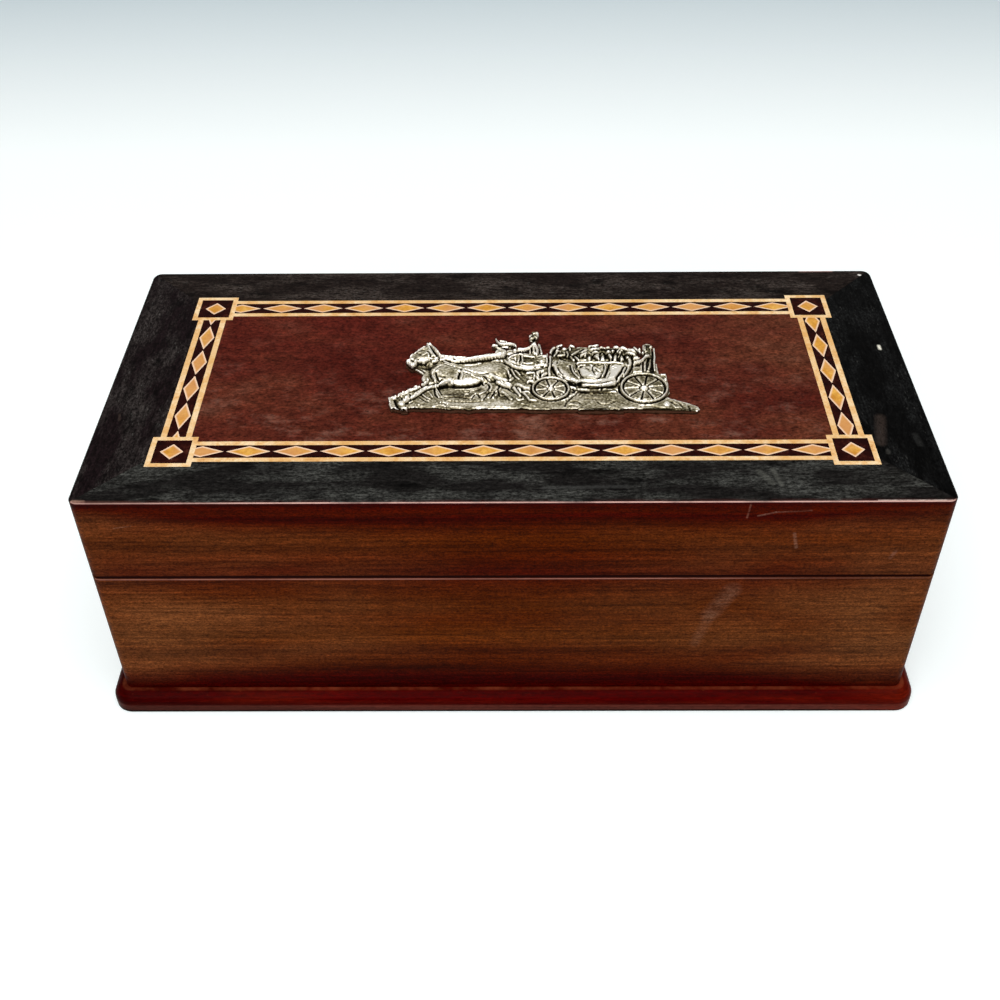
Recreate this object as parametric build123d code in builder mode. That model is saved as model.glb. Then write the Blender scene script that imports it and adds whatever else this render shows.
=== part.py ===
from build123d import *
import os
from math import ceil, radians, tan

# A wooden keepsake box: a mitred case on a moulded plinth board, and a hinged lid
# whose top is inlaid with banding, corner squares and a cast horse and carriage.
# All lengths are in millimetres. The box stands on z = 0, its length runs along X,
# its front faces -Y and its hinges are at +Y.

# Case and lid, outside sizes
box_length = 254.0
box_width = 122.2
base_height = 51.4
lid_height = 30.0
wall_thickness = 9.0
corner_round = 3.0
edge_chamfer = 0.5

# Plinth board under the case, with a quarter round along its upper edge
plinth_thickness = 7.6
plinth_projection = 4.3
plinth_corner_round = 6.4
plinth_quarter_round = 4.0
plinth_lower_chamfer = 0.4

# Lid panel, let into a rabbet inside the top of the lid's sides
panel_thickness = 5.0
panel_rabbet = 4.5
panel_fit = 0.15

# Inlay on the lid: ebonised border, banding with lozenges, corner squares, field
inlay_thickness = 0.8
border_front = 18.2
border_side = 21.0
banding_width = 9.4
stringing_width = 1.8
lozenge_width = 5.0
lozenge_length = 13.3
lozenge_pitch = 14.0
square_size = 13.8
square_line = 1.6
square_lozenge = 7.0

# Where a lozenge's centre falls along each length of banding, from the middle
phase_front = 5.6
phase_back = 5.6
phase_left = 7.0
phase_right = 1.2

# Felt lining on the floor of the case
lining_thickness = 1.2
lining_fit = 0.4

# Butt hinges, let into the bevelled back edges of the case and the lid
hinge_spacing = 168.0
hinge_length = 30.0
hinge_leaf_thickness = 1.0
hinge_leaf_reach = 6.3
hinge_leaf_gap = 0.2
hinge_barrel_radius = 1.9
hinge_pin_radius = 0.9
hinge_knuckles = 3
knuckle_gap = 0.2
axis_inset = 2.2
stop_angle = 104.0
leaf_fit = 0.15
barrel_fit = 0.35
pin_fit = 0.03

# Sides of the small fasteners and of their holes
fastener_sides = 12

# Countersunk screws in the hinge leaves
leaf_screw_spacing = 18.0
leaf_screw_place = 4.15
leaf_screw_head = 1.55
leaf_screw_shank = 0.8
leaf_screw_length = 7.0
screw_fit = 0.05

# Countersunk screws that hold the plinth board to the walls
board_screw_spacing = 104.0
board_screw_head = 3.1
board_screw_shank = 1.6
board_screw_length = 20.0

# Cast horse and carriage on the lid, heights above the veneer
cast_plate = 1.9
cast_low = 2.2
cast_limb = 2.5
cast_body = 2.9
cast_high = 3.4
cast_round = 0.6
limb_sides = 12
thin_sides = 6
wheel_rim = 1.2
wheel_spoke = 0.7
wheel_hub = 1.5
rear_wheel_radius = 7.7
front_wheel_radius = 6.1
rear_wheel_x = 41.5
front_wheel_x = 12.3
axle_y = -10.7

# Pins through the casting's ground strip
relief_pin_radius = 0.5
relief_pin_head = 1.1
relief_pin_crown = 0.6
relief_pin_dome = 0.6
relief_pin_length = 5.0
relief_pin_fit = 0.05
relief_pin_places = ((-34.0, -17.6), (47.8, -18.4))

# How far a cutting shape runs past the part that it cuts
cut_over = 1.0

# Heights and places that follow from the sizes above
seam_z = plinth_thickness + base_height
lid_top_z = seam_z + lid_height
inlay_z = lid_top_z - inlay_thickness
panel_z = inlay_z - panel_thickness
back_y = box_width / 2
inner_length = box_length - 2 * wall_thickness
inner_width = box_width - 2 * wall_thickness
axis_y = back_y - axis_inset
bevel_rise = (axis_inset + cut_over) * tan(radians(stop_angle / 2))
banding_x = box_length / 2 - border_side - banding_width / 2
banding_y = box_width / 2 - border_front - banding_width / 2
hinge_places = (-hinge_spacing / 2, hinge_spacing / 2)

os.makedirs("parts", exist_ok=True)


def finish_piece(block, name):
    """Give a finished piece its name and write it."""
    block.part.label = name
    export_step(block.part, f"parts/{name}.step")
    print(name, len(block.part.solids()), round(block.part.volume, 1))


def mitred_side(side, depth):
    """Outline of one side of the frame, cut at 45 degrees at both corners."""
    x_out = box_length / 2 + cut_over
    y_out = box_width / 2 + cut_over
    x_in = box_length / 2 - depth
    y_in = box_width / 2 - depth
    corners = {
        "front": [(-x_out, -y_out), (x_out, -y_out), (x_in, -y_in), (-x_in, -y_in)],
        "back": [(x_out, y_out), (-x_out, y_out), (-x_in, y_in), (x_in, y_in)],
        "left": [(-x_out, y_out), (-x_out, -y_out), (-x_in, -y_in), (-x_in, y_in)],
        "right": [(x_out, -y_out), (x_out, y_out), (x_in, y_in), (x_in, -y_in)],
    }
    Polygon(*corners[side], align=None)


def facing(x, y, z, up=True):
    """A place for a hole or a screw that opens upwards, or downwards."""
    return Location((x, y, z), (0 if up else 180, 0, 0))


def leaf_screw_places(z, up, hinges):
    """The two screws of each hinge leaf, at the leaf's inner face."""
    return [
        facing(x + shift, axis_y - leaf_screw_place, z, up)
        for x in hinges
        for shift in (-leaf_screw_spacing / 2, leaf_screw_spacing / 2)
    ]


def stem(*sections):
    """A small straight-sided fastener through sections (z, radius)."""
    with BuildPart() as fastener:
        for z, radius in sections:
            with BuildSketch(Plane.XY.offset(z)):
                RegularPolygon(radius, side_count=fastener_sides)
        loft(ruled=True)
    return fastener.part


def countersunk_screw(head, shank, length, fit=0.0, above=0.0):
    """A screw along -Z with its flat head at z = 0, or with a fit the hole that it needs."""
    cone = head - shank
    sections = [(0, head + fit), (-cone, shank + fit), (-length - fit, shank + fit)]
    if above:
        sections.insert(0, (above, head + fit + above))
    return stem(*sections)


leaf_screw = countersunk_screw(leaf_screw_head, leaf_screw_shank, leaf_screw_length)
leaf_screw_hole = countersunk_screw(
    leaf_screw_head, leaf_screw_shank, leaf_screw_length, screw_fit, cut_over
)
board_screw = countersunk_screw(board_screw_head, board_screw_shank, board_screw_length)
board_screw_hole = countersunk_screw(
    board_screw_head, board_screw_shank, board_screw_length, screw_fit, cut_over
)

board_screw_places = [
    facing(x, y, 0, up=False)
    for y in (-back_y + wall_thickness / 2, back_y - wall_thickness / 2)
    for x in (-board_screw_spacing, 0, board_screw_spacing)
]


# Plinth board: a quarter round above a square edge, screwed up into the walls
with BuildPart() as base_board:
    with BuildSketch():
        RectangleRounded(
            box_length + 2 * plinth_projection,
            box_width + 2 * plinth_projection,
            plinth_corner_round,
        )
    extrude(amount=plinth_thickness)
    top_edges = base_board.faces().sort_by(Axis.Z)[-1].edges()
    fillet(top_edges, plinth_quarter_round)
    bottom_edges = base_board.faces().sort_by(Axis.Z)[0].edges()
    chamfer(bottom_edges, plinth_lower_chamfer)
    with Locations(*board_screw_places):
        add(board_screw_hole, mode=Mode.SUBTRACT)
finish_piece(base_board, "base_board")

# The shape that the hinges, their barrels and the stop bevels take out of the walls
with BuildPart() as hinge_recess:
    for hinge_x in hinge_places:
        with BuildSketch(Plane.YZ.offset(hinge_x)):
            with Locations((axis_y, seam_z)):
                Circle(hinge_barrel_radius + barrel_fit)
                Rectangle(
                    hinge_leaf_reach + leaf_fit,
                    2 * hinge_leaf_thickness + hinge_leaf_gap,
                    align=(Align.MAX, Align.CENTER),
                )
        extrude(amount=hinge_length / 2 + leaf_fit, both=True)
    with BuildSketch(Plane.YZ):
        Polygon(
            (axis_y, seam_z),
            (back_y + cut_over, seam_z - bevel_rise),
            (back_y + cut_over, seam_z + bevel_rise),
            align=None,
        )
    extrude(amount=box_length / 2 + cut_over, both=True)

# Four walls of the case, cut from one ring so that their rounded corners meet
with BuildPart() as base_ring:
    with BuildSketch(Plane.XY.offset(plinth_thickness)):
        RectangleRounded(box_length, box_width, corner_round)
        Rectangle(inner_length, inner_width, mode=Mode.SUBTRACT)
    extrude(amount=base_height)
    chamfer(base_ring.faces().sort_by(Axis.Z)[-1].outer_wire().edges(), edge_chamfer)
    add(hinge_recess.part, mode=Mode.SUBTRACT)
    with Locations(*leaf_screw_places(seam_z - hinge_leaf_gap / 2, True, hinge_places)):
        add(leaf_screw_hole, mode=Mode.SUBTRACT)
    with Locations(*board_screw_places):
        add(board_screw_hole, mode=Mode.SUBTRACT)

# The lid's ring has a rabbet inside its upper edge for the panel
with BuildPart() as lid_ring:
    with BuildSketch(Plane.XY.offset(seam_z)):
        RectangleRounded(box_length, box_width, corner_round)
        Rectangle(inner_length, inner_width, mode=Mode.SUBTRACT)
    extrude(amount=lid_height - inlay_thickness)
    chamfer(lid_ring.faces().sort_by(Axis.Z)[0].outer_wire().edges(), edge_chamfer)
    with BuildSketch(Plane.XY.offset(panel_z)):
        Rectangle(inner_length + 2 * panel_rabbet, inner_width + 2 * panel_rabbet)
    extrude(amount=panel_thickness, mode=Mode.SUBTRACT)
    add(hinge_recess.part, mode=Mode.SUBTRACT)
    with Locations(*leaf_screw_places(seam_z + hinge_leaf_gap / 2, False, hinge_places)):
        add(leaf_screw_hole, mode=Mode.SUBTRACT)

for side in ("front", "back", "left", "right"):
    with BuildPart() as base_wall:
        add(base_ring.part)
        with BuildSketch():
            mitred_side(side, depth=2 * wall_thickness)
        extrude(amount=lid_top_z, mode=Mode.INTERSECT)
    finish_piece(base_wall, f"base_{side}")
    with BuildPart() as lid_side:
        add(lid_ring.part)
        with BuildSketch():
            mitred_side(side, depth=2 * wall_thickness)
        extrude(amount=lid_top_z, mode=Mode.INTERSECT)
    finish_piece(lid_side, f"lid_{side}")

# Felt on the floor of the case
with BuildPart() as floor_lining:
    with BuildSketch(Plane.XY.offset(plinth_thickness)):
        Rectangle(inner_length - 2 * lining_fit, inner_width - 2 * lining_fit)
    extrude(amount=lining_thickness)
finish_piece(floor_lining, "floor_lining")

# Panel of the lid, glued into the rabbet, with the ends of the relief's pins in it
with BuildPart() as lid_panel:
    with BuildSketch(Plane.XY.offset(panel_z)):
        Rectangle(
            inner_length + 2 * (panel_rabbet - panel_fit),
            inner_width + 2 * (panel_rabbet - panel_fit),
        )
        with Locations(*relief_pin_places):
            RegularPolygon(
                relief_pin_radius + relief_pin_fit, fastener_sides, mode=Mode.SUBTRACT
            )
    extrude(amount=panel_thickness)
finish_piece(lid_panel, "lid_panel")


def corner_squares(size, mode=Mode.ADD):
    """A square at each of the four corners of the banding."""
    with GridLocations(2 * banding_x, 2 * banding_y, 2, 2):
        Rectangle(size, size, mode=mode)


def lozenge(length, width, mode=Mode.ADD):
    """A diamond with its long way along the sketch's X."""
    Polygon(
        (-length / 2, 0), (0, -width / 2), (length / 2, 0), (0, width / 2), align=None, mode=mode
    )


def lozenge_row(run, phase, mode=Mode.ADD):
    """Lozenges at the banding's pitch, enough to pass both ends of the run."""
    count = ceil(run / lozenge_pitch / 2) + 1
    centres = [(phase + lozenge_pitch * step, 0) for step in range(-count, count + 1)]
    with Locations(*[c for c in centres if abs(c[0]) < run / 2 + lozenge_length / 2]):
        lozenge(lozenge_length, lozenge_width, mode=mode)


# Middle field of the lid's veneer, notched for the corner squares
with BuildPart() as centre_veneer:
    with BuildSketch(Plane.XY.offset(inlay_z)):
        Rectangle(2 * banding_x - banding_width, 2 * banding_y - banding_width)
        corner_squares(square_size, mode=Mode.SUBTRACT)
        with Locations(*relief_pin_places):
            RegularPolygon(
                relief_pin_radius + relief_pin_fit, fastener_sides, mode=Mode.SUBTRACT
            )
    extrude(amount=inlay_thickness)
finish_piece(centre_veneer, "centre_veneer")

# Ebonised border, four strips mitred at the corners of the lid
with BuildPart() as border_ring:
    with BuildSketch(Plane.XY.offset(inlay_z)):
        RectangleRounded(box_length, box_width, corner_round)
        Rectangle(
            2 * banding_x + banding_width, 2 * banding_y + banding_width, mode=Mode.SUBTRACT
        )
        corner_squares(square_size, mode=Mode.SUBTRACT)
    extrude(amount=inlay_thickness)
    chamfer(border_ring.faces().sort_by(Axis.Z)[-1].outer_wire().edges(), edge_chamfer)

for side in ("front", "back", "left", "right"):
    with BuildPart() as border:
        add(border_ring.part)
        with BuildSketch():
            mitred_side(side, depth=2 * border_side)
        extrude(amount=lid_top_z, mode=Mode.INTERSECT)
    finish_piece(border, f"border_{side}")

# Four runs of banding between the corner squares
run_long = 2 * banding_x - square_size
run_short = 2 * banding_y - square_size
banding_runs = (
    (Plane((0, -banding_y, inlay_z), x_dir=(1, 0, 0)), run_long, phase_front),
    (Plane((0, banding_y, inlay_z), x_dir=(1, 0, 0)), run_long, phase_back),
    (Plane((-banding_x, 0, inlay_z), x_dir=(0, 1, 0)), run_short, phase_left),
    (Plane((banding_x, 0, inlay_z), x_dir=(0, 1, 0)), run_short, phase_right),
)
strip_width = banding_width - 2 * stringing_width

with BuildPart() as banding_lines:
    for plane, run, phase in banding_runs:
        with BuildSketch(plane):
            with GridLocations(1, banding_width - stringing_width, 1, 2):
                Rectangle(run, stringing_width)
        extrude(amount=inlay_thickness)
finish_piece(banding_lines, "banding_lines")

with BuildPart() as banding_grounds:
    for plane, run, phase in banding_runs:
        with BuildSketch(plane):
            Rectangle(run, strip_width)
            lozenge_row(run, phase, mode=Mode.SUBTRACT)
        extrude(amount=inlay_thickness)
finish_piece(banding_grounds, "banding_grounds")

with BuildPart() as banding_lozenges:
    for plane, run, phase in banding_runs:
        with BuildSketch(plane):
            lozenge_row(run, phase)
            Rectangle(run, strip_width, mode=Mode.INTERSECT)
        extrude(amount=inlay_thickness)
finish_piece(banding_lozenges, "banding_lozenges")

# Corner squares: a pale line, a dark ground and a square set on its point
with BuildPart() as square_frames:
    with BuildSketch(Plane.XY.offset(inlay_z)):
        corner_squares(square_size)
        corner_squares(square_size - 2 * square_line, mode=Mode.SUBTRACT)
    extrude(amount=inlay_thickness)
finish_piece(square_frames, "square_frames")

with BuildPart() as square_grounds:
    with BuildSketch(Plane.XY.offset(inlay_z)):
        corner_squares(square_size - 2 * square_line)
        with GridLocations(2 * banding_x, 2 * banding_y, 2, 2):
            lozenge(square_lozenge, square_lozenge, mode=Mode.SUBTRACT)
    extrude(amount=inlay_thickness)
finish_piece(square_grounds, "square_grounds")

with BuildPart() as square_lozenges:
    with BuildSketch(Plane.XY.offset(inlay_z)):
        with GridLocations(2 * banding_x, 2 * banding_y, 2, 2):
            lozenge(square_lozenge, square_lozenge)
    extrude(amount=inlay_thickness)
finish_piece(square_lozenges, "square_lozenges")

# Hinge leaves: a plate that turns up into knuckles on the axis at the seam
knuckle_pitch = hinge_length / hinge_knuckles


def hinge_leaf(hinge_x, side, own_knuckles):
    """A leaf below the seam (side -1) or above it (side +1)."""
    inner_z = seam_z + side * hinge_leaf_gap / 2
    with BuildPart() as leaf:
        with BuildSketch(Plane.YZ.offset(hinge_x)):
            with Locations((axis_y, inner_z + side * hinge_leaf_thickness / 2)):
                Rectangle(
                    hinge_leaf_reach, hinge_leaf_thickness, align=(Align.MAX, Align.CENTER)
                )
        extrude(amount=hinge_length / 2, both=True)
        for index in range(hinge_knuckles):
            own = index in own_knuckles
            knuckle_x = hinge_x - hinge_length / 2 + knuckle_pitch * (index + 0.5)
            half = (knuckle_pitch - knuckle_gap) / 2 if own else (knuckle_pitch + knuckle_gap) / 2
            with BuildSketch(Plane.YZ.offset(knuckle_x)):
                with Locations((axis_y, seam_z)):
                    Circle(hinge_barrel_radius if own else hinge_barrel_radius + knuckle_gap)
            extrude(amount=half, both=True, mode=Mode.ADD if own else Mode.SUBTRACT)
        with BuildSketch(Plane.YZ.offset(hinge_x)):
            with Locations((axis_y, seam_z)):
                Circle(hinge_pin_radius + pin_fit)
        extrude(amount=hinge_length, both=True, mode=Mode.SUBTRACT)
        with Locations(*leaf_screw_places(inner_z, side < 0, (hinge_x,))):
            add(leaf_screw_hole, mode=Mode.SUBTRACT)
    return leaf.part


lower_leaves = [hinge_leaf(x, -1, range(0, hinge_knuckles, 2)) for x in hinge_places]
with BuildPart() as hinge_base_leaves:
    add(lower_leaves)
finish_piece(hinge_base_leaves, "hinge_base_leaves")

upper_leaves = [hinge_leaf(x, 1, range(1, hinge_knuckles, 2)) for x in hinge_places]
with BuildPart() as hinge_lid_leaves:
    add(upper_leaves)
finish_piece(hinge_lid_leaves, "hinge_lid_leaves")

with BuildPart() as hinge_pins:
    for hinge_x in hinge_places:
        with BuildSketch(Plane.YZ.offset(hinge_x)):
            with Locations((axis_y, seam_z)):
                Circle(hinge_pin_radius)
        extrude(amount=(hinge_length - knuckle_gap) / 2, both=True)
finish_piece(hinge_pins, "hinge_pins")

with BuildPart() as hinge_base_screws:
    with Locations(*leaf_screw_places(seam_z - hinge_leaf_gap / 2, True, hinge_places)):
        add(leaf_screw)
finish_piece(hinge_base_screws, "hinge_base_screws")

with BuildPart() as hinge_lid_screws:
    with Locations(*leaf_screw_places(seam_z + hinge_leaf_gap / 2, False, hinge_places)):
        add(leaf_screw)
finish_piece(hinge_lid_screws, "hinge_lid_screws")

with BuildPart() as board_screws:
    with Locations(*board_screw_places):
        add(board_screw)
finish_piece(board_screws, "board_screws")


def strand(height, *knots, soften=0, sides=thin_sides):
    """A strand of the casting through knots (x, y, half width), softened along its crown."""
    stretches = []
    for start, end in zip(knots, knots[1:]):
        with BuildPart() as stretch:
            with BuildSketch(Plane.XY.offset(lid_top_z)):
                for x, y, half_width in (start, end):
                    with Locations((x, y)):
                        RegularPolygon(half_width, side_count=sides)
                make_hull()
            extrude(amount=height)
            if soften:
                chamfer(stretch.faces().sort_by(Axis.Z)[-1].edges(), soften)
        stretches.append(stretch.part)
    return stretches


def plate(height, *corners):
    """A flat part of the casting with a straight-sided outline."""
    with BuildPart() as flat:
        with BuildSketch(Plane.XY.offset(lid_top_z)):
            Polygon(*corners, align=None)
        extrude(amount=height)
    return [flat.part]


def boat(height, round_over, left, lowest, right):
    """A hull-shaped part of the casting: a level top and a belly drawn as one curve."""
    with BuildPart() as vessel:
        with BuildSketch(Plane.XY.offset(lid_top_z)):
            with BuildLine():
                belly = Spline(left, lowest, right, tangents=[(0.2, -1), (0.2, 1)])
                Line(belly @ 1, belly @ 0)
            make_face()
        extrude(amount=height)
        chamfer(vessel.faces().sort_by(Axis.Z)[-1].edges(), round_over)
    return [vessel.part]


def wheel(x, radius, spokes):
    """A cast wheel: a plate behind, a raised rim, spokes and a hub."""
    with BuildPart() as cast_wheel:
        with BuildSketch(Plane.XY.offset(lid_top_z)):
            with Locations((x, axle_y)):
                Circle(radius)
        extrude(amount=cast_plate)
        with BuildSketch(Plane.XY.offset(lid_top_z)):
            with Locations((x, axle_y)):
                Circle(radius)
                Circle(radius - wheel_rim, mode=Mode.SUBTRACT)
        extrude(amount=cast_limb)
        with BuildSketch(Plane.XY.offset(lid_top_z)):
            with Locations((x, axle_y)):
                with PolarLocations((radius - wheel_rim / 2) / 2, spokes):
                    Rectangle(radius - wheel_rim / 2, wheel_spoke)
        extrude(amount=cast_low)
        with BuildSketch(Plane.XY.offset(lid_top_z)):
            with Locations((x, axle_y)):
                RegularPolygon(wheel_hub, side_count=limb_sides)
        extrude(amount=cast_body)
    return [cast_wheel.part]


# The horse at full stretch, heading to the left, with its straps and the ground plants
horse = (
    strand(
        cast_body,
        (-21.0, -1.0, 5.6),
        (-13.5, -2.2, 4.9),
        (-5.0, -0.6, 5.2),
        soften=cast_round,
        sides=limb_sides,
    )
    + strand(cast_body, (-22.0, 1.0, 4.6), (-25.8, 6.8, 3.1), soften=cast_round, sides=limb_sides)
    + strand(cast_body, (-27.0, 8.8, 3.0), (-33.0, 5.7, 1.7), soften=cast_round, sides=limb_sides)
    + strand(cast_limb, (-27.8, 11.4, 1.1), (-27.5, 15.0, 0.5))
    + strand(cast_limb, (-26.2, 12.2, 0.8), (-22.8, 6.8, 0.8))
    + strand(cast_body, (-21.5, -5.4, 1.7), (-26.5, -9.2, 1.1), (-33.3, -15.2, 1.1))
    + strand(cast_limb, (-26.0, -5.6, 1.5), (-31.0, -8.4, 0.9), (-36.6, -14.2, 1.0))
    + strand(cast_body, (-4.5, -4.0, 2.2), (-0.5, -7.2, 1.2), (4.8, -10.0, 0.8))
    + strand(cast_limb, (-0.8, -2.0, 2.2), (2.4, -9.6, 1.1), (5.4, -14.6, 0.9))
)
harness = (
    strand(cast_high, (-22.6, 6.2, 1.25), (-12.0, 6.1, 1.15), (-2.8, 8.2, 0.8))
    + strand(cast_limb, (-19.0, 3.5, 0.7), (-3.4, 4.6, 0.7))
    + strand(cast_high, (-22.3, 5.2, 0.6), (-24.9, 0.6, 0.6), (-24.2, -4.6, 0.6))
    + strand(cast_high, (-22.4, 3.3, 0.5), (-16.5, -0.3, 0.5), (-9.2, -4.3, 0.5), (-1.0, -5.6, 0.5))
    + strand(cast_high, (-17.2, -0.4, 0.5), (-17.7, -6.6, 0.5))
)
plants = (
    strand(cast_low, (-29.6, -15.2, 0.8), (-26.6, -11.2, 0.5))
    + strand(cast_low, (-26.6, -15.6, 0.8), (-24.2, -11.6, 0.5))
    + strand(cast_low, (-21.4, -15.6, 0.8), (-24.2, -9.4, 0.6))
    + strand(cast_low, (-12.4, -15.0, 0.7), (-10.6, -9.8, 0.6), (-8.2, -7.4, 0.5))
    + strand(cast_low, (-9.6, -15.2, 0.7), (-6.8, -11.0, 0.6), (-7.4, -8.0, 0.5))
    + strand(cast_low, (-6.4, -15.2, 0.7), (-4.2, -11.4, 0.6), (-4.6, -9.0, 0.5))
    + strand(cast_low, (-3.0, -15.2, 0.7), (-1.6, -11.6, 0.6), (0.6, -9.8, 0.5))
)

# The ground strip, and the plate that joins the hind legs, seat, body and wheels
ground = plate(
    cast_plate,
    (-38.4, -14.4),
    (-37.6, -17.6),
    (-36.2, -19.8),
    (-32.8, -20.2),
    (-29.8, -19.4),
    (-23.6, -20.0),
    (-13.6, -20.3),
    (10.0, -20.5),
    (30.0, -20.6),
    (45.0, -20.9),
    (57.2, -21.1),
    (57.9, -20.0),
    (54.6, -18.2),
    (47.6, -15.8),
    (0.0, -13.0),
    (-12.6, -13.4),
    (-20.6, -13.4),
    (-22.8, -9.0),
    (-29.0, -10.8),
    (-33.6, -12.8),
) + plate(
    cast_plate,
    (-12.0, -15.0),
    (-9.0, -5.0),
    (-3.0, 3.0),
    (12.0, 6.0),
    (40.0, 6.0),
    (44.4, 9.0),
    (46.4, 9.0),
    (46.6, -1.0),
    (49.0, -2.2),
    (49.2, -12.0),
    (47.0, -16.0),
)

# The driver on a boat-shaped seat, holding the reins, with a scroll below the seat
driver = (
    boat(cast_limb, 0.5, (-2.8, 8.0), (4.6, -1.0), (12.4, 8.0))
    + strand(
        cast_body,
        (-2.5, 5.4, 0.6),
        (-0.8, 2.5, 0.6),
        (3.2, 0.1, 0.6),
        (8.8, -0.6, 0.6),
        (12.0, 3.4, 0.6),
    )
    + strand(cast_body, (2.4, 8.4, 0.4), (3.2, 6.4, 0.4), (2.4, 4.2, 0.4))
    + strand(cast_high, (9.4, 3.2, 1.1), (9.6, 3.2, 1.1))
    + strand(
        cast_limb,
        (10.8, -1.1, 0.6),
        (8.6, -1.5, 0.6),
        (7.7, -3.2, 0.6),
        (8.6, -5.2, 0.6),
        (10.5, -5.7, 0.6),
    )
    + strand(cast_body, (7.9, 13.8, 1.5), (8.2, 8.6, 2.0))
    + strand(cast_high, (7.6, 12.6, 0.9), (5.4, 11.2, 0.9), (2.2, 10.8, 0.9))
    + strand(cast_body, (2.2, 10.9, 0.8), (0.6, 13.2, 0.7), (-3.6, 13.9, 0.6), (-5.1, 16.6, 0.5))
    + strand(cast_limb, (1.2, 11.6, 0.6), (-4.0, 11.5, 0.5), (-5.8, 12.5, 0.5))
    + strand(cast_low, (-4.4, 9.5, 1.1), (0.6, 9.4, 1.2))
    + strand(cast_body, (7.6, 15.8, 1.4), (7.6, 17.0, 1.4))
    + strand(cast_high, (5.9, 18.0, 0.5), (9.3, 18.4, 0.5))
    + strand(cast_high, (7.6, 18.8, 1.2), (7.7, 19.9, 1.1))
)

# The carriage: a tub with a rolled rim, ribs, a beaded far rim and swags between
rim_left, rim_right = 13.6, 40.0
rim_y, rim_rise = 4.6, 7.4
bead_count = 10


def far_rim(share):
    """A place on the far rim, from the left end (0) to the right end (1)."""
    x = rim_left + share * (rim_right - rim_left)
    rise = rim_rise * (1 - (2 * share - 1) ** 4) ** 0.5
    return x, rim_y + rise


carriage = (
    boat(cast_body, cast_round, (13.4, 4.8), (26.6, -9.6), (39.0, 4.8))
    + plate(cast_low, *[far_rim(step / bead_count) for step in range(bead_count + 1)])
    + strand(cast_high, (14.2, 4.6, 0.7), (20.0, 2.9, 0.6), (33.0, 2.9, 0.6), (38.4, 4.2, 0.7))
    + strand(cast_high, (20.2, -7.1, 0.9), (26.6, -8.5, 1.1), (33.2, -7.1, 0.9))
    + strand(cast_high, (15.4, 3.0, 0.5), (16.6, -2.4, 0.5), (19.6, -6.4, 0.5))
    + strand(cast_high, (19.8, 2.4, 0.5), (20.6, -3.0, 0.5), (22.6, -7.2, 0.5))
    + strand(cast_high, (31.2, 2.4, 0.5), (30.4, -2.6, 0.5), (27.8, -7.2, 0.5))
    + strand(cast_high, (37.2, 2.8, 0.5), (35.8, -2.8, 0.5), (32.8, -6.6, 0.5))
    + strand(cast_high, (26.2, 1.6, 0.9), (26.4, -4.6, 0.4))
)
for step in range(1, bead_count):
    bead_x, bead_y = far_rim(step / bead_count)
    carriage += strand(cast_body, (bead_x - 0.5, bead_y, 0.9), (bead_x + 0.5, bead_y, 0.9))
    swag_y = rim_y + 0.42 * (bead_y - rim_y)
    carriage += plate(
        cast_limb, (bead_x - 0.9, swag_y - 1.6), (bead_x + 0.9, swag_y - 1.6), (bead_x, swag_y + 1.6)
    )

# The running gear: perch bar, rear upright with its scroll, step and wheels
running_gear = (
    strand(cast_limb, (16.0, -11.0, 1.1), (36.0, -11.0, 1.1))
    + strand(cast_body, (38.8, 2.2, 0.7), (42.2, 3.9, 0.6), (44.8, 7.0, 0.6))
    + strand(cast_low, (45.3, -2.0, 1.1), (45.5, 7.0, 0.9), (44.9, 11.8, 1.4))
    + strand(cast_low, (44.6, 12.2, 1.0), (42.4, 10.4, 0.7))
    + strand(cast_low, (48.3, -2.9, 0.7), (48.6, -5.6, 0.6))
    + wheel(rear_wheel_x, rear_wheel_radius, spokes=10)
    + wheel(front_wheel_x, front_wheel_radius, spokes=8)
)

# The casting in one piece, with holes for its pins
relief_pin_hole = stem(
    (cast_high, relief_pin_radius + relief_pin_fit), (-cut_over, relief_pin_radius + relief_pin_fit)
)
with BuildPart() as carriage_relief:
    add(ground + horse + plants + harness + driver + carriage + running_gear)
    with Locations(*[(x, y, lid_top_z) for x, y in relief_pin_places]):
        add(relief_pin_hole, mode=Mode.SUBTRACT)
finish_piece(carriage_relief, "carriage_relief")

# Pins: a domed head on the casting and a shank down into the lid's panel
relief_pin = (
    stem((relief_pin_dome, relief_pin_crown), (0, relief_pin_head)),
    stem((0, relief_pin_radius), (-relief_pin_length, relief_pin_radius)),
)
with BuildPart() as relief_pins:
    with Locations(*[(x, y, lid_top_z + cast_plate) for x, y in relief_pin_places]):
        add(relief_pin)
finish_piece(relief_pins, "relief_pins")
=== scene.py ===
from math import ceil, pi, radians
import bpy
import numpy as np
from mathutils import Matrix, Vector


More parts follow.
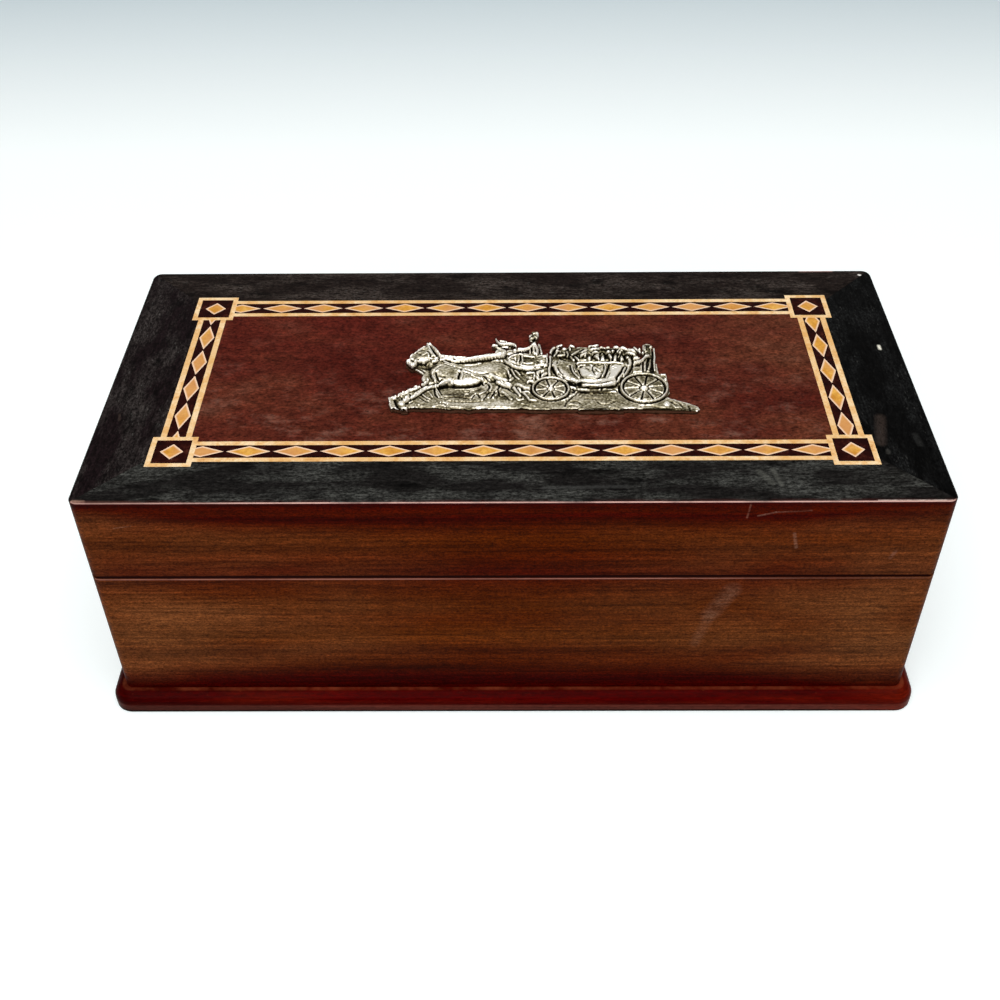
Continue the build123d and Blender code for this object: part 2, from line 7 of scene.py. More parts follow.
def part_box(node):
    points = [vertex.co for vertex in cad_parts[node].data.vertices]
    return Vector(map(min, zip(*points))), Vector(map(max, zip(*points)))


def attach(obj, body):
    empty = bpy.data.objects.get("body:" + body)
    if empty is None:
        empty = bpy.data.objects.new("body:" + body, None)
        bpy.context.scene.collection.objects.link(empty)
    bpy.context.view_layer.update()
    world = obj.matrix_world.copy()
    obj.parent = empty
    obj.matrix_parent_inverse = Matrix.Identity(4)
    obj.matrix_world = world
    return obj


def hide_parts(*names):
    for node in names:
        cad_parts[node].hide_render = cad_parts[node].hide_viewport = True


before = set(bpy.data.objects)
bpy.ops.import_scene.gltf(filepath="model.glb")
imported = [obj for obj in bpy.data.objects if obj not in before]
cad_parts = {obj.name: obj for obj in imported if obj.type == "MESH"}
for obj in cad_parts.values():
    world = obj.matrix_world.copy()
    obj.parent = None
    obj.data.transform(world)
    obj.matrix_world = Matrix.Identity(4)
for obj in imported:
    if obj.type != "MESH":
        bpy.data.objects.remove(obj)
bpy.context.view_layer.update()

# Case walls and lid sides: mahogany boards about 9 mm thick, mitred and glued at the corners,
# stained red-brown and waxed dull. The grain runs along each board, in bands across its height.
# Just under the seam a painted shadow line runs round the case, with a patchy pale painted
# highlight on the arris below it.
millimetre = 0.001


def box_side(node, corner, axis):
    """A side of a CAD node's box in millimetres, from its low (0) or high (1) corner."""
    return round(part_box(node)[corner][axis] / millimetre, 2)


case_end_x, case_back_y = box_side("base_right", 1, 0), box_side("base_back", 1, 1)
front_y = box_side("base_front", 0, 1)
plinth_top_z, seam_z = box_side("base_board", 1, 2), box_side("base_front", 1, 2)
lid_top_z = box_side("border_front", 1, 2)
edge_chamfer = 0.5
golden_z = 36.0
# Heights from the seam of the painted shadow line and the painted highlight, and the finish of the
# wood
seam_shadow = (-0.45, 0.05)
seam_highlight = (-1.1, -0.85)
wood_ior = 1.5
waxed_gloss = 0.014


def linear(code):
    """An sRGB hex colour as linear RGBA."""
    channels = [int(code[start:start + 2], 16) / 255 for start in (1, 3, 5)]
    return [*(c / 12.92 if c <= 0.04045 else ((c + 0.055) / 1.055) ** 2.4 for c in channels), 1.0]


def feed(tree, socket, value):
    """Gives a socket a number, a vector, a hex colour, or the output of a node."""
    if isinstance(value, bpy.types.Node):
        value = next(output for output in value.outputs if output.enabled)
    if isinstance(value, bpy.types.NodeSocket):
        tree.links.new(value, socket)
    else:
        socket.default_value = linear(value) if isinstance(value, str) else value


def put(tree, kind, *values, stops=(), **settings):
    """Adds a node. Its inputs take the values in order; settings name its other inputs.

    A setting that names no input is one of the node's own, and stops are the places and colours
    of a ramp.
    """
    made = tree.nodes.new("ShaderNode" + kind)
    for name, value in settings.items():
        if name not in made.inputs:
            setattr(made, name, value)
    for socket, value in zip([socket for socket in made.inputs if socket.enabled], values):
        feed(tree, socket, value)
    for name, value in settings.items():
        if name in made.inputs:
            feed(tree, made.inputs[name], value)
    if stops:
        for _ in stops[2:]:
            made.color_ramp.elements.new(0.5)
        for element, (place, code) in zip(made.color_ramp.elements, stops):
            element.position = place
            element.color = linear(code)
    return made


def product(tree, *values):
    """Several values multiplied."""
    total = values[0]
    for value in values[1:]:
        total = put(tree, "Math", total, value, operation="MULTIPLY")
    return total


def shaded(tree, colour, *factors):
    """A colour made lighter or darker by factors."""
    for factor in factors:
        colour = put(tree, "VectorMath", colour, factor, operation="SCALE")
    return colour


def where(tree):
    """The place on the object in millimetres, as a vector and as x, y and z."""
    place = put(tree, "TexCoord").outputs["Object"]
    scaled = put(tree, "VectorMath", place, 1 / millimetre, operation="SCALE")
    return scaled, put(tree, "SeparateXYZ", scaled).outputs


def noise(tree, place, lengths, seed=0.0, detail=3.0, rough=0.5):
    """Noise with features of the given lengths in millimetres along x, y and z."""
    shift, scale = (seed, seed, seed), [1 / size for size in lengths]
    scaled = put(tree, "Mapping", place, Location=shift, Scale=scale)
    return put(tree, "TexNoise", scaled, Scale=1.0, Detail=detail, Roughness=rough)


def swing(tree, value, reach):
    """A factor that swings about 1 with a noise."""
    return put(tree, "MapRange", value, 0.25, 0.75, 1 - reach, 1 + reach)


def stretch(axis, long, across):
    """Feature lengths that are long on one axis."""
    return [long if index == axis else across for index in range(3)]


def material(name):
    """A new material and its tree with a surface shader."""
    made = bpy.data.materials.new(name)
    made.use_nodes = True
    return made, made.node_tree, made.node_tree.nodes["Principled BSDF"]


def connect(tree, shader, **inputs):
    """Sets or links the surface shader's sockets, with spaces written as underscores."""
    for name, value in inputs.items():
        feed(tree, shader.inputs[name.replace("_", " ")], value)


def waxed(tree, shader, colour, roughness, height, depth):
    """A dull waxed finish over a wood's colour, with a relief of its pores or grain."""
    connect(
        tree,
        shader,
        Base_Color=colour,
        Roughness=roughness,
        IOR=wood_ior,
        Specular_IOR_Level=waxed_gloss,
        Normal=put(tree, "Bump", Height=height, Distance=depth * millimetre),
    )


def between(tree, value, low, high, soft):
    """1 where a value lies between two others, falling to 0 over a soft edge."""
    return product(
        tree,
        put(tree, "MapRange", value, low - soft, low),
        put(tree, "MapRange", value, high + soft, high),
    )


def stroke(tree, place, start, stop, half_width):
    """A mark: 1 along the middle of a straight stroke, falling to 0 at its edges."""
    along = Vector(stop) - Vector(start)
    off = put(tree, "VectorMath", place, start, operation="SUBTRACT")
    unit = along / along.length_squared
    share = put(tree, "Clamp", put(tree, "VectorMath", off, unit, operation="DOT_PRODUCT"))
    nearest = put(tree, "VectorMath", along, share, operation="SCALE")
    gap = put(tree, "VectorMath", off, nearest, operation="DISTANCE")
    return put(tree, "MapRange", gap, half_width, half_width * 0.3)


def marked(tree, place, colour, grit, marks):
    """Scratches and scuffs over a colour, broken up by a grit."""
    for start, stop, half_width, code, weight in marks:
        mark = stroke(tree, place, start, stop, half_width)
        colour = put(tree, "Mix", product(tree, mark, grit, weight), colour, code, data_type="RGBA")
    return colour


def dress(made, *nodes):
    """Gives a material to CAD nodes."""
    for name in nodes:
        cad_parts[name].data.materials.clear()
        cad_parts[name].data.materials.append(made)


def mahogany(name, axis, seed, marks=()):
    """Stained mahogany with its grain along an axis: dark red bands and golden brown ones.

    The pores and the shortest grain are drawn wider than real ones, so that they show.
    """
    made, tree, shader = material(name)
    place, xyz = where(tree)
    wander = noise(tree, place, stretch(axis, 120, 20), seed, detail=2.0)
    lift = put(tree, "MapRange", wander, 0, 1, -3.0, 3.0)
    height = put(tree, "Math", xyz[2], lift, operation="ADD")
    board = put(
        tree,
        "ValToRGB",
        put(tree, "MapRange", height, plinth_top_z + 0.4, lid_top_z),
        stops=(
            (0.0, "#380100"),
            (0.07, "#370300"),
            (0.16, "#451501"),
            (0.22, "#421200"),
            (0.3, "#572605"),
            (0.41, "#4b1900"),
            (0.47, "#501f02"),
            (0.65, "#380400"),
            (0.82, "#4e1b00"),
            (0.93, "#390400"),
            (0.95, "#400c00"),
            (1.0, "#2d0100"),
        ),
    )
    along = put(tree, "Math", xyz[axis], operation="ABSOLUTE")
    cloud = noise(tree, place, stretch(axis, 45, 16), seed + 31, detail=2.0)
    top_taper = put(tree, "MapRange", along, 80, 120, 0, 5)
    foot_taper = put(tree, "MapRange", along, 50, 115, 0, 9)
    upper = put(tree, "Math", height, top_taper, operation="SUBTRACT")
    lower = put(tree, "Math", height, foot_taper, operation="ADD")
    above_middle = put(tree, "Math", height, golden_z, operation="SUBTRACT")
    from_middle = put(tree, "Math", above_middle, operation="ABSOLUTE")
    golden = product(
        tree,
        put(tree, "MapRange", along, 10, 115, 0.15, 1.1),
        put(tree, "MapRange", cloud, 0.3, 0.62, 0.15, 0.7),
        put(tree, "MapRange", upper, 82, 77),
        put(tree, "MapRange", lower, 16, 27),
        put(tree, "MapRange", from_middle, 8, 22, 1.12, 0.6),
    )
    colour = put(tree, "Mix", golden, board, "#6e4020", data_type="RGBA")
    streak = noise(tree, place, stretch(axis, 60, 1.0), seed + 7, detail=4.0, rough=0.62)
    band = noise(tree, place, stretch(axis, 170, 4.5), seed + 11, detail=2.0)
    fleck = noise(tree, place, stretch(axis, 5.0, 1.3), seed + 19, detail=4.0, rough=0.85)
    grain = noise(tree, place, stretch(axis, 0.9, 0.55), seed + 71, detail=2.0, rough=0.8)
    colour = shaded(
        tree, colour, swing(tree, streak, 0.5), swing(tree, band, 0.36), swing(tree, fleck, 0.75)
    )
    colour = shaded(tree, colour, swing(tree, grain, 0.7))
    pore = noise(tree, place, stretch(axis, 24, 0.7), seed + 43, detail=3.0, rough=0.6)
    deep = put(tree, "MapRange", pore, 0.4, 0.3, 0, 0.45)
    colour = put(tree, "Mix", deep, colour, "#260400", data_type="RGBA")
    across_x = put(tree, "Math", xyz[0], operation="ABSOLUTE")
    across_y = put(tree, "Math", xyz[1], operation="ABSOLUTE")
    out_x = put(tree, "Math", across_x, case_end_x, operation="SUBTRACT")
    out_y = put(tree, "Math", across_y, case_back_y, operation="SUBTRACT")
    out = put(tree, "Math", out_x, out_y, operation="MAXIMUM")
    outer = put(tree, "Math", out, -edge_chamfer * 0.98, operation="GREATER_THAN")
    # A painted shadow line just under the seam, and below it a patchy painted highlight on the
    # arris, weaker towards the right end
    above_seam = put(tree, "Math", xyz[2], seam_z, operation="SUBTRACT")
    shadow = between(tree, above_seam, *seam_shadow, 0.05)
    colour = put(tree, "Mix", product(tree, outer, shadow), colour, "#1c0503", data_type="RGBA")
    arris_highlight = between(tree, above_seam, *seam_highlight, 0.2)
    patchy = noise(tree, place, stretch(axis, 22, 22), seed + 53, detail=4.0, rough=0.6)
    whole = put(tree, "MapRange", patchy, 0.34, 0.5, 0.45, 1.0)
    wear_and_highlight = product(tree, whole, put(tree, "MapRange", xyz[0], 90, 45, 0.25, 1.0))
    pale = product(tree, outer, arris_highlight, wear_and_highlight)
    colour = put(tree, "Mix", pale, colour, "#9c685a", data_type="RGBA")
    if marks:
        coarse = put(tree, "MapRange", fleck, 0.42, 0.58, 0.2, 1.0)
        grit = product(tree, coarse, put(tree, "MapRange", grain, 0.35, 0.6, 0.5, 1.2))
        colour = marked(tree, place, colour, grit, marks)
    wear = noise(tree, place, stretch(axis, 30, 6), seed + 3)
    waxed(tree, shader, colour, put(tree, "MapRange", wear, 0.3, 0.7, 0.34, 0.48), pore, 0.04)
    return made


# Each mark on the front: its ends as (x, z), its half width, colour and weight
front_marks = [
    ((x0, front_y, z0), (x1, front_y, z1), *look)
    for (x0, z0), (x1, z1), *look in (
        ((67.9, 88.2), (67.4, 82.8), 0.4, "#8e5b4c", 0.5),
        ((70.5, 83.5), (75.4, 84.9), 0.45, "#93695a", 0.45),
        ((75.4, 84.9), (85.4, 85.5), 0.4, "#93695a", 0.35),
        ((81.9, 76.4), (83.2, 70.9), 0.7, "#8d6654", 0.5),
        ((112.6, 69.2), (111.6, 66.6), 0.9, "#7d5748", 0.5),
        ((-115.4, 79.2), (-110.2, 80.2), 0.3, "#8a6550", 0.5),
        ((66.6, 53.0), (61.0, 42.0), 3.6, "#8a6b58", 0.26),
        ((61.0, 42.0), (57.6, 29.0), 2.4, "#836351", 0.2),
    )
]
walls = (("front", 0, 0.0, front_marks), ("back", 0, 40.0), ("left", 1, 80.0), ("right", 1, 120.0))
for side, *look in walls:
    dress(mahogany("mahogany_" + side, *look), "base_" + side, "lid_" + side)

# Lid panel: a plain thinner board of the same wood, let into a rabbet round the inside of the lid
# sides. The veneers are glued on it, and from inside the lid its bare face shows.
dress(mahogany("mahogany_panel", 0, 160.0), "lid_panel")


# Plinth board: the same wood with a moulded edge, stained deep red. Its square lower edge is
# painted brown as a reflection of the paper, with a painted shadow along its foot, and painted
# highlights lie along the top of its moulding, in patches on its curve and at its right end. Its
# left end is painted darker as a dark reflection. Screws hold it.
def plinth_wood():
    """Stained mahogany seen on its moulded edge: deep red over brown, both with painted light."""
    made, tree, shader = material("plinth_wood")
    place, xyz = where(tree)
    streak = noise(tree, place, (50, 50, 0.9), 5, detail=4.0, rough=0.62)
    # Up its height: a painted contact shadow at the foot, the square lower edge brown as a painted
    # reflection of the paper, and deep red above
    colour = put(
        tree,
        "ValToRGB",
        put(tree, "MapRange", xyz[2], 0.0, plinth_top_z),
        stops=(
            (0.0, "#040101"),
            (0.1, "#0c0403"),
            (0.19, "#50261f"),
            (0.42, "#57271f"),
            (0.52, "#380000"),
            (0.75, "#430000"),
            (1.0, "#400100"),
        ),
    )
    # Painted highlights: warmer red-brown patches on the upper curve of the moulding, and at its
    # right end
    glow = noise(tree, place, (40, 40, 3), 15, detail=3.0)
    end_highlight = put(tree, "MapRange", xyz[0], 100, 128)
    warm = product(
        tree,
        put(tree, "MapRange", xyz[2], 3.0, 4.2),
        put(tree, "MapRange", glow, 0.45, 0.7, 0.0, 0.35),
    )
    warm = put(tree, "Math", warm, product(tree, end_highlight, 0.4), operation="MAXIMUM")
    colour = put(tree, "Mix", warm, colour, "#6a1c0a", data_type="RGBA")
    fleck = noise(tree, place, (3.0, 3.0, 0.45), 9, detail=3.0, rough=0.75)
    # The left end is painted darker, as a dark reflection
    dim_end = put(tree, "MapRange", xyz[0], -126, -60, 0.6, 1)
    colour = shaded(tree, colour, swing(tree, streak, 0.4), swing(tree, fleck, 0.5), dim_end)
    specks = noise(tree, place, (1.4, 1.4, 0.5), 23, detail=2.0, rough=0.7)
    speckled = put(tree, "MapRange", specks, 0.66, 0.78, 0, 0.3)
    colour = put(tree, "Mix", speckled, colour, "#7c301c", data_type="RGBA")
    # A painted highlight along the top of the moulding, broken up by a patchy noise
    wear_and_highlight = noise(tree, place, (9, 9, 9), 29, detail=4.0, rough=0.65)
    top_highlight = put(tree, "MapRange", xyz[2], plinth_top_z - 0.18, plinth_top_z - 0.04)
    line = product(tree, top_highlight, put(tree, "MapRange", wear_and_highlight, 0.4, 0.62, 0.05, 0.5))
    colour = put(tree, "Mix", line, colour, "#8a4228", data_type="RGBA")
    waxed(tree, shader, colour, put(tree, "MapRange", fleck, 0.3, 0.7, 0.26, 0.4), fleck, 0.03)
    return made


dress(plinth_wood(), "base_board")

# Border of the lid: black-stained veneer in four mitred strips, worn dull and scuffed. The stain
# has gone brown on the left strip and grey on the front one, and the front arris is rubbed bare,
# with a pale painted highlight along it.

# Heights from the top of the lid
arris_foot = (-0.32, -0.4)
bare_arris_and_highlight = (-0.36, -0.14)


def ebonised(name, axis, seed, ground, streaked, scuffed, wear, marks):
    """Black-stained veneer with its grain along an axis; wear is how much of it is scuffed.

    Short streaks and grey flecks break its black. They are wider than real ones, so that they show.
    """
    made, tree, shader = material(name)
    place, xyz = where(tree)
    streak = noise(tree, place, stretch(axis, 5.0, 1.0), seed, detail=4.0, rough=0.75)
    streaky = put(tree, "MapRange", streak, 0.36, 0.68)
    colour = put(tree, "Mix", streaky, ground, streaked, data_type="RGBA")
    patch = noise(tree, place, stretch(axis, 24, 8), seed + 13, detail=4.0, rough=0.6)
    fine = noise(tree, place, stretch(axis, 1.3, 0.7), seed + 5, detail=3.0, rough=0.85)
    haze = product(
        tree,
        put(tree, "MapRange", patch, 0.44, 0.62),
        put(tree, "MapRange", streak, 0.38, 0.6, 0.2, 1.0),
        put(tree, "MapRange", fine, 0.36, 0.6, 0.35, 1.0),
    )
    colour = put(tree, "Mix", product(tree, haze, wear), colour, scuffed, data_type="RGBA")
    blot = noise(tree, place, stretch(axis, 12, 5), seed + 61, detail=3.0)
    colour = shaded(
        tree, colour, swing(tree, fine, 1.15), put(tree, "MapRange", blot, 0.3, 0.45, 0.3, 1.0)
    )
    glint = noise(tree, place, stretch(axis, 2.4, 0.55), seed + 17, detail=2.0, rough=0.6)
    bright = put(tree, "MapRange", glint, 0.64, 0.74, 0, 0.55)
    glints = product(tree, bright, put(tree, "MapRange", patch, 0.45, 0.6, 0.15, 1.0), wear)
    colour = put(tree, "Mix", glints, colour, "#7c7b76", data_type="RGBA")
    colour = marked(tree, place, colour, put(tree, "MapRange", fine, 0.35, 0.55, 0.45, 1.0), marks)
    wear_and_highlight = noise(tree, place, (14, 14, 14), seed + 23, detail=5.0, rough=0.65)
    front = put(tree, "MapRange", xyz[1], front_y + edge_chamfer + 1.0, front_y + edge_chamfer)
    red = product(tree, front, put(tree, "MapRange", wear_and_highlight, 0.4, 0.6, 0, 0.45))
    colour = put(tree, "Mix", red, colour, "#4a1612", data_type="RGBA")
    below_top = put(tree, "Math", xyz[2], lid_top_z, operation="SUBTRACT")
    lower = product(tree, front, put(tree, "MapRange", below_top, *arris_foot))
    colour = put(tree, "Mix", lower, colour, "#33090a", data_type="RGBA")
    # The pale line on the front arris: the bare wood, with a painted highlight on it
    line = product(
        tree,
        front,
        between(tree, below_top, *bare_arris_and_highlight, 0.05),
        put(tree, "MapRange", wear_and_highlight, 0.32, 0.52, 0.3, 1.0),
        put(tree, "MapRange", xyz[0], -120, -70, 0.5, 1.0),
    )
    colour = put(tree, "Mix", line, colour, "#cba196", data_type="RGBA")
    waxed(tree, shader, colour, put(tree, "MapRange", patch, 0.3, 0.7, 0.4, 0.56), streak, 0.05)
    return made


# Spots on the top: the ends as (x, y), the half width, colour and weight of each
front_spots = (
    ((-126.0, -60.4), (-122.4, -60.6), 1.1, "#a98474", 0.85),
    ((-122.4, -60.5), (-106.0, -60.7), 0.7, "#5a4038", 0.5),
    ((104.0, -60.8), (125.0, -60.8), 0.5, "#f0d8cc", 0.75),
    ((72.0, -48.0), (75.0, -53.0), 1.4, "#55554f", 0.5),
    ((76.0, -47.0), (77.6, -54.0), 1.0, "#5b5b55", 0.55),
    ((9.0, -55.0), (33.0, -54.4), 1.0, "#4a4a48", 0.4),
)
left_spots = (((-121.0, -20.0), (-120.4, -23.0), 0.5, "#4b3e34", 0.3),)
right_spots = (
    ((112.6, -23.0), (110.2, -35.0), 2.2, "#4a3e38", 0.4),
    ((120.4, 14.8), (120.4, 12.9), 0.75, "#f0ecdc", 1.0),
    ((111.4, -38.4), (111.2, -40.0), 0.8, "#5a5853", 0.25),
    ((121.2, -31.4), (121.6, -36.0), 1.4, "#4b4b49", 0.17),
)
back_spots = (
    ((102.6, 60.7), (113.5, 60.7), 0.9, "#a87a74", 0.85),
    ((122.9, 58.0), (123.7, 57.4), 0.7, "#f2eee6", 1.0),
)
for side, axis, seed, tints, wear, spots in (
    ("front", 0, 3.0, ("#0b0a09", "#22201f", "#50514d"), 0.74, front_spots),
    ("left", 1, 53.0, ("#090505", "#1e1517", "#45413e"), 0.6, left_spots),
    ("right", 1, 103.0, ("#010101", "#0b0b0b", "#2e2f2f"), 0.35, right_spots),
    ("back", 0, 153.0, ("#100a08", "#28211e", "#4a423d"), 0.75, back_spots),
):
    marks = [((*start, lid_top_z), (*stop, lid_top_z), *look) for start, stop, *look in spots]
    dress(ebonised("ebony_" + side, axis, seed, *tints, wear, marks), "border_" + side)


# Field of the lid: a dark red-brown veneer laid on the lid panel inside the banding, mottled, with
# the polish rubbed through in places.
def field_veneer():
    """Mottled veneer under worn wax: wine red at the back left, browner towards the right."""
    made, tree, shader = material("field_veneer")
    place, xyz = where(tree)
    cloud = noise(tree, place, (40, 26, 26), 2, detail=3.0, rough=0.55)
    colour = put(
        tree,
        "ValToRGB",
        cloud,
        stops=((0.3, "#44160f"), (0.46, "#4f1f16"), (0.58, "#57281b"), (0.74, "#674032")),
    )
    brown = product(
        tree, put(tree, "MapRange", xyz[0], 20, 90), put(tree, "MapRange", cloud, 0.35, 0.6)
    )
    colour = put(tree, "Mix", product(tree, brown, 0.6), colour, "#5d3322", data_type="RGBA")
    red = product(
        tree, put(tree, "MapRange", xyz[1], -5, 34), put(tree, "MapRange", xyz[0], 40, -50)
    )
    colour = put(tree, "Mix", product(tree, red, 0.65), colour, "#501912", data_type="RGBA")
    mottle = noise(tree, place, (5.0, 3.2, 3.2), 5, detail=5.0, rough=0.72)
    fine = noise(tree, place, (1.3, 0.9, 0.9), 9, detail=2.0, rough=0.7)
    colour = shaded(tree, colour, swing(tree, mottle, 0.62), swing(tree, fine, 0.7))
    worn = noise(tree, place, (15, 9, 9), 41, detail=5.0, rough=0.7)
    low = put(tree, "MapRange", xyz[1], 12, -24, 0.2, 1.0)
    pale = product(
        tree,
        put(tree, "MapRange", worn, 0.5, 0.66),
        put(tree, "MapRange", mottle, 0.42, 0.62),
        low,
        0.4,
    )
    colour = put(tree, "Mix", pale, colour, "#8a6a5c", data_type="RGBA")
    pits = noise(tree, place, (2.6, 1.8, 1.8), 11, detail=3.0, rough=0.8)
    pitted = put(tree, "MapRange", pits, 0.38, 0.28, 0, 0.8)
    colour = put(tree, "Mix", pitted, colour, "#230905", data_type="RGBA")
    waxed(tree, shader, colour, put(tree, "MapRange", cloud, 0.3, 0.7, 0.38, 0.5), mottle, 0.04)
    return made


dress(field_veneer(), "centre_veneer")

# Banding and corner squares: sycamore lines, dark grounds and amber satinwood lozenges, sawn
# thin, let in flush and polished over. The lozenges are paler along their edges.
banding_x, banding_y = 101.3, 38.2
lozenge_pitch = 14.0
lozenge_half_length, lozenge_half_width = 6.65, 2.5
square_half = 3.5
corner_reach, run_reach = 6.0, 3.0
lozenge_phases = {"front": 5.6, "left": 7.0, "right": 1.2}


def inlaid(name, colours, length, seed):
    """A strip of inlay wood: its colour wanders through a ramp with its grain."""
    made, tree, shader = material(name)
    place, xyz = where(tree)
    grain = noise(tree, place, (length, length, length), seed, detail=5.0, rough=0.75)
    fine = noise(tree, place, (0.9, 0.9, 0.9), seed + 3, detail=2.0, rough=0.7)
    colour = shaded(tree, put(tree, "ValToRGB", grain, stops=colours), swing(tree, fine, 0.12))
    waxed(tree, shader, colour, 0.42, grain, 0.03)
    return made, tree, shader, place, xyz, colour


def stringing():
    """Sycamore gone cream under the polish, and honey yellow in places."""
    tints = ((0.3, "#d59a5a"), (0.45, "#ecbf85"), (0.58, "#f8dcb0"), (0.74, "#f0bf98"))
    made, tree, shader, place, xyz, colour = inlaid("stringing", tints, 5.0, 3)
    aged = noise(tree, place, (34, 34, 34), 8, detail=2.0)
    honey = put(tree, "MapRange", aged, 0.42, 0.62, 0, 0.5)
    colour = put(tree, "Mix", honey, colour, "#dda55a", data_type="RGBA")
    connect(tree, shader, Base_Color=colour)
    return made


def dark_ground():
    """Nearly black stained veneer with red-brown glimpses of its grain."""
    tints = ((0.35, "#170505"), (0.55, "#290b08"), (0.75, "#4c251b"))
    return inlaid("dark_ground", tints, 2.5, 3)[0]


def folded(tree, value, phase):
    """The distance along a run from the nearest lozenge's centre."""
    turned = put(tree, "Math", value, phase - lozenge_pitch / 2, operation="SUBTRACT")
    step = put(tree, "Math", turned, lozenge_pitch, operation="FLOORED_MODULO")
    off = put(tree, "Math", step, lozenge_pitch / 2, operation="SUBTRACT")
    return put(tree, "Math", off, operation="ABSOLUTE")


def off_line(tree, value, line):
    """The distance from the middle line of a run, on either side of the lid."""
    outwards = put(tree, "Math", value, operation="ABSOLUTE")
    off = put(tree, "Math", outwards, line, operation="SUBTRACT")
    return put(tree, "Math", off, operation="ABSOLUTE")


def satinwood():
    """Amber satinwood, from golden to pinkish, and pale along the edges of each lozenge."""
    tints = ((0.32, "#c0802f"), (0.5, "#d99c42"), (0.66, "#ebb75c"))
    made, tree, shader, place, xyz, colour = inlaid("satinwood", tints, 5.0, 21)
    across_x, across_y = off_line(tree, xyz[0], banding_x), off_line(tree, xyz[1], banding_y)

    def share(along, across, half_length, half_width):
        """How far a place is from a lozenge's centre: 1 on its outline."""
        long_part = put(tree, "Math", along, half_length, operation="DIVIDE")
        wide_part = put(tree, "Math", across, half_width, operation="DIVIDE")
        return put(tree, "Math", long_part, wide_part, operation="ADD")

    half = (lozenge_half_length, lozenge_half_width)
    long_runs = share(folded(tree, xyz[0], lozenge_phases["front"]), across_y, *half)
    left_run = share(folded(tree, xyz[1], lozenge_phases["left"]), across_x, *half)
    right_run = share(folded(tree, xyz[1], lozenge_phases["right"]), across_x, *half)
    squares = share(across_x, across_y, square_half, square_half)
    on_right = put(tree, "Math", xyz[0], 0.0, operation="GREATER_THAN")
    short_runs = put(tree, "Mix", on_right, left_run, right_run)
    near_x = put(tree, "Math", across_x, corner_reach, operation="LESS_THAN")
    near_y = put(tree, "Math", across_y, corner_reach, operation="LESS_THAN")
    on_long = put(tree, "Math", across_y, run_reach, operation="LESS_THAN")
    runs = put(tree, "Mix", on_long, short_runs, long_runs)
    edge = put(tree, "Mix", product(tree, near_x, near_y), runs, squares)
    tint = noise(tree, place, (19, 19, 19), 4, detail=1.0)
    pinkish = put(tree, "MapRange", tint, 0.45, 0.6, 0, 0.7)
    colour = put(tree, "Mix", pinkish, colour, "#cf9160", data_type="RGBA")
    pale = put(tree, "MapRange", edge, 0.68, 0.92)
    colour = put(tree, "Mix", pale, colour, "#f6d3b4", data_type="RGBA")
    connect(tree, shader, Base_Color=colour)
    return made


dress(stringing(), "banding_lines", "square_frames")
dress(dark_ground(), "banding_grounds", "square_grounds")
dress(satinwood(), "banding_lozenges", "square_lozenges")

# Horse and carriage: one pewter casting with an antique finish, dark in its hollows and rubbed
# bright on its crowns, with painted highlights and painted shade laid over it in places. It is
# modelled as heights above the lid, in millimetres, from strands, slabs and carved lines, with a
# steep wall round its outline, and two pins hold it down.
cell = 0.16
edge_height = 1.0
least_height, crown_limit = 0.5, 3.4
reach_x, reach_y = (-38.4, 57.9), (-21.1, 22.2)
far_off = 99.0
paint_light_slope = 1.6
grid = [np.arange(low, high + cell / 2, cell) for low, high in (reach_x, reach_y)]
X, Y = np.meshgrid(*grid, indexing="ij")
# The gap to the casting's outline, negative inside it, its height, and the painted light on it
casting = {
    "gap": np.full(X.shape, far_off),
    "height": np.zeros(X.shape),
    "painted_light": np.zeros(X.shape),
}


def flowing(knots, parts=5):
    """A smooth line through knots (x, y, half width)."""
    line = np.array(knots, float)
    if len(line) < 3:
        return line
    spans = np.vstack([2 * line[0] - line[1], line, 2 * line[-1] - line[-2]])
    curve = []
    for before, start, stop, after in zip(spans, spans[1:], spans[2:], spans[3:]):
        for t in np.arange(parts) / parts:
            square = 2 * before - 5 * start + 4 * stop - after
            cube = 3 * start - before - 3 * stop + after
            curve.append(start + 0.5 * t * (stop - before + t * (square + t * cube)))
    return np.vstack([curve, line[-1]])


def trace(knots):
    """The signed gap to a strand, negative inside it, and its half width there."""
    gap, half = np.full(X.shape, far_off), np.ones(X.shape)
    line = flowing(knots)
    for (x0, y0, r0), (x1, y1, r1) in zip(line, line[1:]):
        along, rise = x1 - x0, y1 - y0
        share = ((X - x0) * along + (Y - y0) * rise) / max(along**2 + rise**2, 1e-9)
        share = np.clip(share, 0, 1)
        width = r0 + share * (r1 - r0)
        here = np.hypot(X - x0 - share * along, Y - y0 - share * rise) - width
        closer = here < gap
        gap, half = np.where(closer, here, gap), np.where(closer, width, half)
    return gap, half


def lay(gap, height, soft):
    """Joins a form to the casting; soft is the width over which their heights melt together."""
    old = casting["height"]
    share = np.clip(0.5 + 0.5 * (height - old) / soft, 0, 1)
    joined = old + (height - old) * share + soft * share * (1 - share)
    casting["height"] = np.where(gap < cell, np.where(old > 0, joined, height), old)
    casting["gap"] = np.minimum(casting["gap"], gap)


def strand(top, *knots, foot=edge_height, soft=0.05, flat=0.0):
    """A round-backed strand, foot high at its edges and top high along its line."""
    gap, half = trace(knots)
    depth = np.clip(-gap / half / (1 - flat), 0, 1)
    lay(gap, foot + (top - foot) * np.sqrt(1 - (1 - depth) ** 2), soft)


